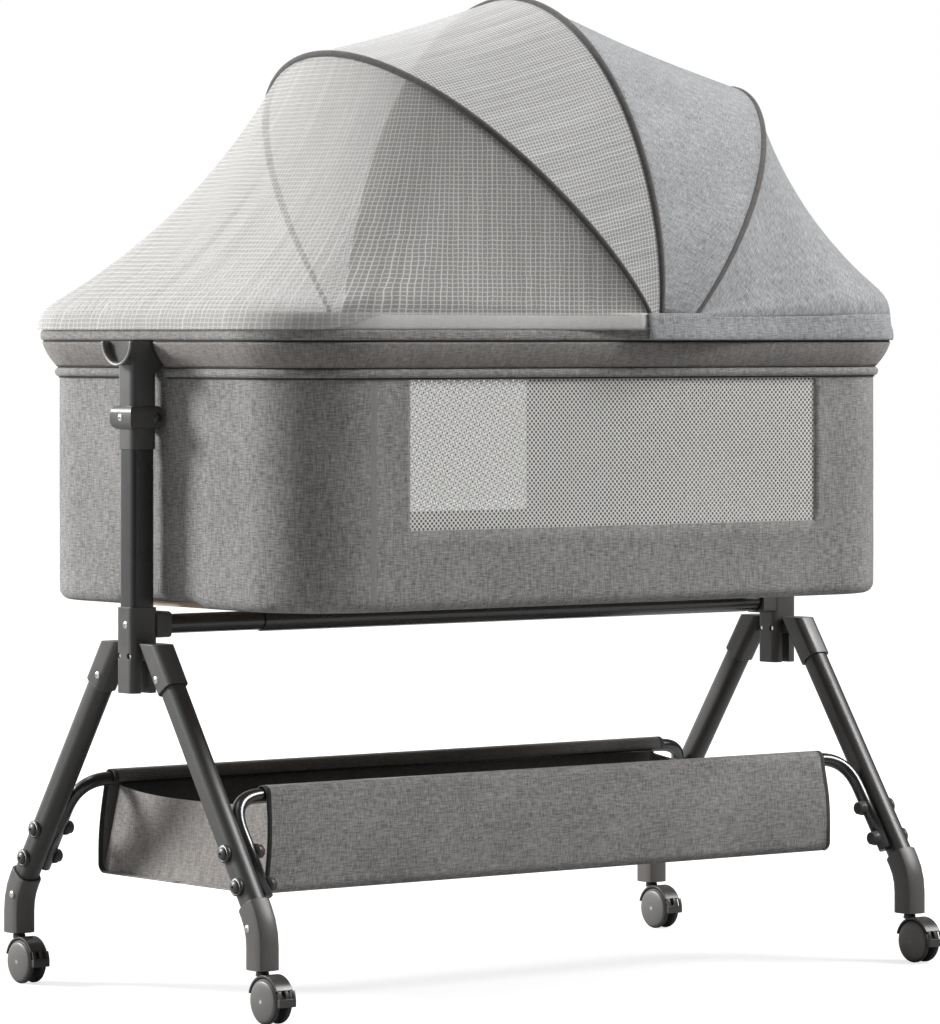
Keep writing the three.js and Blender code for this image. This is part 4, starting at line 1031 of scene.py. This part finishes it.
def build_pull_rim(end, out):
    """A raised rim round each half-round release pull, pale grey as a painted highlight on its edge."""
    low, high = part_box(f"release_pull_{end}")
    face = high.x if out > 0 else low.x
    half = (high.y - low.y) / 2 - PULL_RIM_RADIUS * 0.6
    drop = high.z - low.z - PULL_RIM_RADIUS * 0.6
    middle = (low.y + high.y) / 2
    angles = [math.pi * i / 40 for i in range(41)]
    path = [Vector((face, middle - half * math.cos(a), high.z - drop * math.sin(a))) for a in angles]
    tube_piece(f"pull_rim_{end}", path, PULL_RIM_RADIUS, 12, Vector((1, 0, 0)), PULL_RIM_HIGHLIGHT, f"pull_{end}",
               "charcoal_plastic")


# Basket rails: smooth bent tubes, with domed bolts outside and knobs inside each leg
RAIL_RADIUS = 0.0075
RAIL_Z = 0.228
RAIL_BEND = 0.042
RAIL_END_Z = 0.128
BOLT_Z = (0.173, 0.140)
BOLT = [
    (0.0, -0.001), (0.0094, -0.001), (0.0098, 0.0006), (0.0098, 0.0030), (0.0088, 0.0040), (0.0070, 0.0036),
    *[(radius, distance + 0.0036) for radius, distance in dome(0.0070, 0.0038, 8)],
    (0.0018, 0.0074), (0.0014, 0.0056),
]
KNOB = [
    (0.0, -0.001), (0.0085, -0.001), (0.0085, 0.0030), (0.0072, 0.0052), (0.0072, 0.0078), (0.0058, 0.0092),
    (0.003, 0.0095),
]
FIXINGS = (("bolt", BOLT, 32, LEG_HALF, 1), ("knob", KNOB, 24, -LEG_HALF - 2 * RAIL_RADIUS, -1))


def on_leg(x, z, side):
    return Vector((x, side * (LEG_TOP[0] + (LEG_TOP[1] - z) * math.tan(LEG_LEAN)), z))


def build_rails():
    end_x = FRAME_X - LEG_HALF - RAIL_RADIUS - 0.0003
    for row, side in ROWS.items():
        lean = Vector((0, side * math.sin(LEG_LEAN), -math.cos(LEG_LEAN)))
        path = [on_leg(-end_x, RAIL_END_Z, side)]
        for turn in (-1, 1):
            corner = on_leg(turn * end_x, RAIL_Z, side)
            level = on_leg(turn * (end_x - RAIL_BEND), RAIL_Z, side)
            down = corner + lean * RAIL_BEND
            bend = [curved(level, corner, down, share) for share in np.linspace(0, 1, 15)]
            path += bend[::turn]
        path.append(on_leg(end_x, RAIL_END_Z, side))
        normal = Vector((1, 0, 0)).cross(lean).normalized()
        body = f"legs_{row}"
        rail = tube_piece(f"rail_tube_{row}", path, RAIL_RADIUS, 24, normal, TUBE, body, "black_tube")
        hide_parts(f"basket_rail_{row}")
        for end, out in ENDS.items():
            for number, z in enumerate(BOLT_Z):
                for kind, profile, sides, distance, way in FIXINGS:
                    place = on_leg(out * (FRAME_X + distance), z, side)
                    mesh = lathe(profile, sides, place, (way * out, 0, 0))
                    new_piece(f"rail_{kind}_{row}_{end}_{number}", *mesh, LEG_TUBE, body, "black_tube")


# Casters
AXLE_Z = 0.024
WHEEL_RADIUS = 0.024
TRAIL = 0.0155
STEM_Y = 0.230
HOOD_RADIUS = WHEEL_RADIUS + 0.0008
HOOD_THICKNESS = 0.0026
HOOD_ANGLES = (28, 165)
CASTER_HALF = 0.0105
TREAD_PROFILE = [
    (0.0, 0.0050), (0.0225, 0.0050), (0.0236, 0.0056), (0.0240, 0.0066), (0.0240, 0.0088), (0.0236, 0.0098),
    (0.0228, 0.0104),
]
CAP_PROFILE = [
    (0.0, 0.0098), (0.0222, 0.0098), (0.0224, 0.0106), (0.0216, 0.0112),
    *[(0.0216 * math.cos(a), 0.0112 + 0.0029 * math.sin(a)) for a in map(math.radians, range(8, 84, 8))],
    (0.0, 0.01412),
]
STEM_PROFILE = [
    (0.0, 0.0245), (0.0072, 0.0245), (0.0068, 0.0288), (0.0056, 0.0300), (0.0040, 0.0302), (0.0040, 0.0500),
    (0.0, 0.0500),
]


def build_casters():
    for end, out in ENDS.items():
        for row, side in ROWS.items():
            tag = f"{row}_{end}"
            axle = Vector((out * FRAME_X, side * STEM_Y - TRAIL, AXLE_Z))
            build_wheels(tag, axle)
            build_hood(tag, axle)
            build_brake(tag, axle)


def build_wheels(tag, axle):
    body = f"wheels_{tag}"
    for name, face in (("a", -1), ("b", 1)):
        for part, profile, material in (("tread", TREAD_PROFILE, TREAD), ("face", CAP_PROFILE, WHEEL)):
            mesh = lathe(profile, 56, axle, (face, 0, 0))
            piece = new_piece(f"caster_{part}_{tag}_{name}", *mesh, material, body, "caster_plastic")
            if (part, name) == ("tread", "a"):
                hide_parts(f"caster_wheels_{tag}")


def hood_arc(radius, start, end, steps):
    """Points in the wheel's plane, from the side towards -Y over the top."""
    angles = [math.radians(start + (end - start) * i / steps) for i in range(steps + 1)]
    return [(-radius * math.cos(a), radius * math.sin(a)) for a in angles]


def band(inner, outer, start, end, steps):
    return [*hood_arc(outer, start, end, steps), *reversed(hood_arc(inner, start, end, steps))]


def slab(outline, middle, half, axle):
    """A flat outline in the wheel's plane given a width along X."""
    return loft_mesh([[axle + Vector((x, y, z)) for y, z in outline] for x in (middle - half, middle + half)])


def build_hood(tag, axle):
    hood = slab(band(HOOD_RADIUS, HOOD_RADIUS + HOOD_THICKNESS, *HOOD_ANGLES, 36), 0, CASTER_HALF, axle)
    web_outline = [*hood_arc(HOOD_RADIUS + 0.001, *HOOD_ANGLES, 30), (0.0075, -0.002), (0.0, -0.0075),
                   (-0.0075, -0.002)]
    web = slab(web_outline, 0, 0.0044, axle)
    stem = lathe(STEM_PROFILE, 32, axle + Vector((0, TRAIL, 0)), (0, 0, 1))
    parts = [hood, web, stem]
    piece = joined_piece(f"caster_cover_{tag}", parts, CASTER, f"caster_{tag}", "caster_plastic", 0.0006)
    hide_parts(f"caster_body_{tag}")


def build_brake(tag, axle):
    """A T-shaped lever: a curved bar with two windows between its ribs, which pass over the hood."""
    reach = WHEEL_RADIUS + 0.0012
    over_hood = WHEEL_RADIUS + 0.0038
    outside = over_hood + 0.0022
    rib_half = 0.0019
    arm = [(-0.0165, 0.0085), (-reach - 0.001, 0.0035), (-reach - 0.001, -0.0035), (-0.0150, 0.0060)]
    parts = [slab(band(reach, outside, -8, 9, 8), 0, CASTER_HALF, axle)]
    rib = band(over_hood, outside, 8, 26, 8)
    parts += [slab(rib, place * (CASTER_HALF - rib_half), rib_half, axle) for place in (-1, 0, 1)]
    parts.append(slab(arm, 0, 0.0016, axle))
    piece = joined_piece(f"brake_pedal_{tag}", parts, CASTER, f"brake_{tag}", "caster_plastic", 0.0005)
    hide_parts(f"brake_lever_{tag}")


# Storage basket: a cloth trough on two hems round the rails
basket_low, basket_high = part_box("basket")
BASKET_FLARE = 0.007
BASKET_X = basket_high.x - BASKET_FLARE
BASKET_BOTTOM_Z = basket_low.z - 0.003
BINDING_SHARE = 0.014
RAIL_Y = LEG_TOP[0] + (LEG_TOP[1] - RAIL_Z) * math.tan(LEG_LEAN)
HEM_RADIUS = 0.0098


def basket_section():
    """Half a cross-section of the basket: (y, z) points from the hem's outside down to the middle."""
    angles = [math.radians(200 - 200 * i / 8) for i in range(9)]
    points = [(RAIL_Y + HEM_RADIUS * math.cos(a), RAIL_Z + HEM_RADIUS * math.sin(a)) for a in angles]
    top_y, top_z = RAIL_Y + HEM_RADIUS, RAIL_Z - 0.004
    low_y, low_z = RAIL_Y + 0.0135, BASKET_BOTTOM_Z + 0.012
    for t in (i / 12 for i in range(1, 13)):
        belly = 0.004 * math.sin(math.pi * t)
        points.append((top_y + (low_y - top_y) * t + belly, top_z + (low_z - top_z) * t))
    for angle in (math.radians(90 * i / 6) for i in range(1, 7)):
        points.append((low_y - 0.012 * (1 - math.cos(angle)), low_z - 0.011 * math.sin(angle)))
    edge_y, edge_z = points[-1]
    return points + [(edge_y * (1 - i / 8), edge_z) for i in range(1, 9)]


def basket_drop(z):
    """0 at the rails, 1 at the bottom."""
    return max(0.0, (RAIL_Z - z) / (RAIL_Z - BASKET_BOTTOM_Z))


def fold_with_leg(piece):
    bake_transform(piece)


def build_basket():
    """Two halves that meet on the bottom's middle line, so that each follows its own rail."""
    for row, side in ROWS.items():
        grid = []
        for share in (-1, -1 + BINDING_SHARE, *np.linspace(-0.96, 0.96, 67), 1 - BINDING_SHARE, 1):
            line = []
            for y, z in basket_section():
                drop = basket_drop(z)
                x = share * (BASKET_X + BASKET_FLARE * drop)
                waver = 0.0
                if z > BASKET_BOTTOM_Z + 0.003:
                    waver = cloth_waver((x, side * y, z), 0.003, 9.0, 3.1 * side) * min(1.0, drop * 2)
                line.append(Vector((x, side * (y - abs(waver)), z)))
            grid.append(line)
        piece = grid_piece(f"basket_{row}", grid, FABRIC, None, "heather_fabric", 0.0014)
        shade_inside_and_bind(piece, Vector((0, -side, 0.3)))
        fold_with_leg(piece)
        if side < 0:
            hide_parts("basket")
    build_basket_ends()


def shade_inside_and_bind(piece, inward):
    """Painted shade on the faces that look inward: a darker copy of the cloth. A black binding on the upright
    edges.
    """
    piece.data.materials.append(SHADED_INNER_FABRIC)
    piece.data.materials.append(BINDING_AND_SEAM_SHADE)
    for polygon in piece.data.polygons:
        drop = basket_drop(polygon.center.z)
        bound = (1 - BINDING_SHARE) * (BASKET_X + BASKET_FLARE * drop)
        if abs(polygon.center.x) > bound and drop < 0.97:
            polygon.material_index = 2
        elif polygon.normal.dot(inward) > 0.35:
            polygon.material_index = 1


def build_basket_ends():
    """End walls, set in from the side panels' edges, in the band's darker, warmer cloth as painted shade."""
    low_y, top_y = RAIL_Y + 0.012, RAIL_Y - 0.002
    for end, out in ENDS.items():
        for row, side in ROWS.items():
            grid = []
            for down in (i / 14 for i in range(15)):
                line = []
                for across in (j / 16 for j in range(17)):
                    y = (top_y + (low_y - top_y) * down) * across
                    top_z = RAIL_Z - 0.016 + 0.008 * across ** 3
                    z = top_z + (BASKET_BOTTOM_Z + 0.001 - top_z) * down
                    bow = 0.004 * math.sin(math.pi * down) * (1 - across ** 2)
                    line.append(Vector((out * (BASKET_X - 0.012 + 0.012 * down - bow), side * y, z)))
                grid.append(line)
            piece = grid_piece(f"basket_end_{row}_{end}", grid, BAND_AND_END_SHADE_FABRIC, None, "heather_fabric")
            fold_with_leg(piece)


# Mattress: crowned, with drawn-in sides
mattress_low, mattress_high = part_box("mattress")
MATTRESS_PULL = 0.004
MATTRESS_SIDE_ROWS = 7


def build_mattress():
    low = mattress_low.z + 0.0005
    side_top = mattress_high.z - 0.009
    profile = [(-0.012, low), (-0.004, low + 0.002), (0.0, low + 0.008), (-0.0015, (low + side_top) / 2),
               (0.0, side_top - 0.008), (-0.004, side_top - 0.002), (-0.012, side_top + 0.001),
               (-0.03, side_top + 0.004), (-0.07, side_top + 0.007), (-0.11, side_top + 0.0085),
               (-0.16, side_top + 0.009)]
    outline = plan_outline(mattress_high.x - HALF_LENGTH)
    runs = running([place for place, _ in outline])
    rings, uvs = [], []
    for row, ((out, z), rise) in enumerate(zip(profile, running(profile))):
        ring = []
        for (place, normal), run in zip(outline, runs):
            if row < MATTRESS_SIDE_ROWS:
                pull = 0.0
                if abs(normal.y) > 0.9:
                    pull = MATTRESS_PULL * math.cos(math.pi * place.x / 2 / mattress_high.x)
                x = place.x + normal.x * out
                y = place.y + normal.y * (out - pull)
                uvs.append((run, rise))
            else:
                x = place.x * (1 + out / HALF_LENGTH * 1.6)
                y = place.y * (1 + out / HALF_WIDTH * 1.45)
                uvs.append((x, y))
            ring.append(Vector((x, y, z)))
        rings.append(ring)
    pad = new_piece("mattress_pad", *loft_mesh(rings), COTTON, "tub", "mattress_cover", uvs)
    flip_outward(pad)
    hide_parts("mattress")


# Floor, backdrop, light
FLOOR_HALF = 14
LAMPS = (
    ("key", (-3.35, 3.6, 2.6), 0.6, 1.3, 435),
    ("front", (2.6, -2.2, 3.0), 0.6, 1.6, 190),
    ("top", (0.2, 0.5, 3.4), 0.7, 2.4, 46),
)


def add_lamp(name, place, aim_z, size, energy):
    """A square lamp turned to the middle of the object at a height of aim_z."""
    data = bpy.data.lights.new(name, "AREA")
    data.shape = "RECTANGLE"
    data.size = size
    data.size_y = size
    data.energy = energy
    lamp = bpy.data.objects.new(name, data)
    lamp.location = place
    lamp.rotation_euler = (Vector((0, 0, aim_z)) - Vector(place)).to_track_quat("-Z", "Y").to_euler()
    bpy.context.scene.collection.objects.link(lamp)


def build_floor():
    """A floor that shows white to the camera under the object's shadow."""
    material, tree, sockets = new_material("floor_white", 0.9)
    link(tree, (0.32, 0.32, 0.32), sockets["Base Color"])
    corners = [(x * FLOOR_HALF, y * FLOOR_HALF, 0) for x, y in SQUARE]
    new_piece("floor", corners, [(0, 1, 2, 3)], material, None, None, smooth=False)
    lit = tree.nodes["Principled BSDF"].outputs[0]
    distance = add_node(tree, "VectorMath", {0: coordinates(tree, "Object")}, "Value", operation="LENGTH")
    white = add_node(tree, "Emission", {"Strength": remap(tree, distance, 0.8, 2.4, 0.72, 1.0)})
    added = add_node(tree, "AddShader", {0: lit, 1: white})
    seen = add_node(tree, "LightPath", {}, "Is Camera Ray")
    chosen = add_node(tree, "MixShader", {0: seen, 1: lit, 2: added})
    tree.links.new(chosen, tree.nodes["Material Output"].inputs["Surface"])


def build_world():
    """A dim studio for the object, brighter behind and above it. Camera rays see white."""
    world = bpy.data.worlds.new("studio")
    bpy.context.scene.world = world
    world.use_nodes = True
    tree = world.node_tree
    x, y, z = separated(tree, coordinates(tree, "Generated"))
    back = weighted(tree, y, 0.79, x, -0.62)
    shade = calc(tree, "ADD", remap(tree, back, -0.4, 0.9, 0.07, 0.42), remap(tree, z, 0.1, 0.9, 0.0, 0.30))
    mirrored = remap(tree, back, -0.3, 0.75, 0.05, 1.0)
    camera, glossy, through = (
        add_node(tree, "LightPath", {}, f"Is {kind} Ray") for kind in ("Camera", "Glossy", "Transmission")
    )
    reflected = mix_number(tree, glossy, shade, mirrored)
    strength = mix_number(tree, calc(tree, "MAXIMUM", camera, through), reflected, 1.0)
    background = tree.nodes["Background"]
    link(tree, strength, background.inputs["Strength"])
    background.inputs["Color"].default_value = (1, 1, 1, 1)


add_camera()
build_floor()
build_world()
for settings in LAMPS:
    add_lamp(*settings)
build_rigid()
build_screws()
build_rails()
build_casters()
build_tub()
build_windows()
build_rim()
build_hem()
build_hoops()
build_canopy()
build_basket()
build_mattress()

bpy.context.scene.view_settings.view_transform = "Standard"
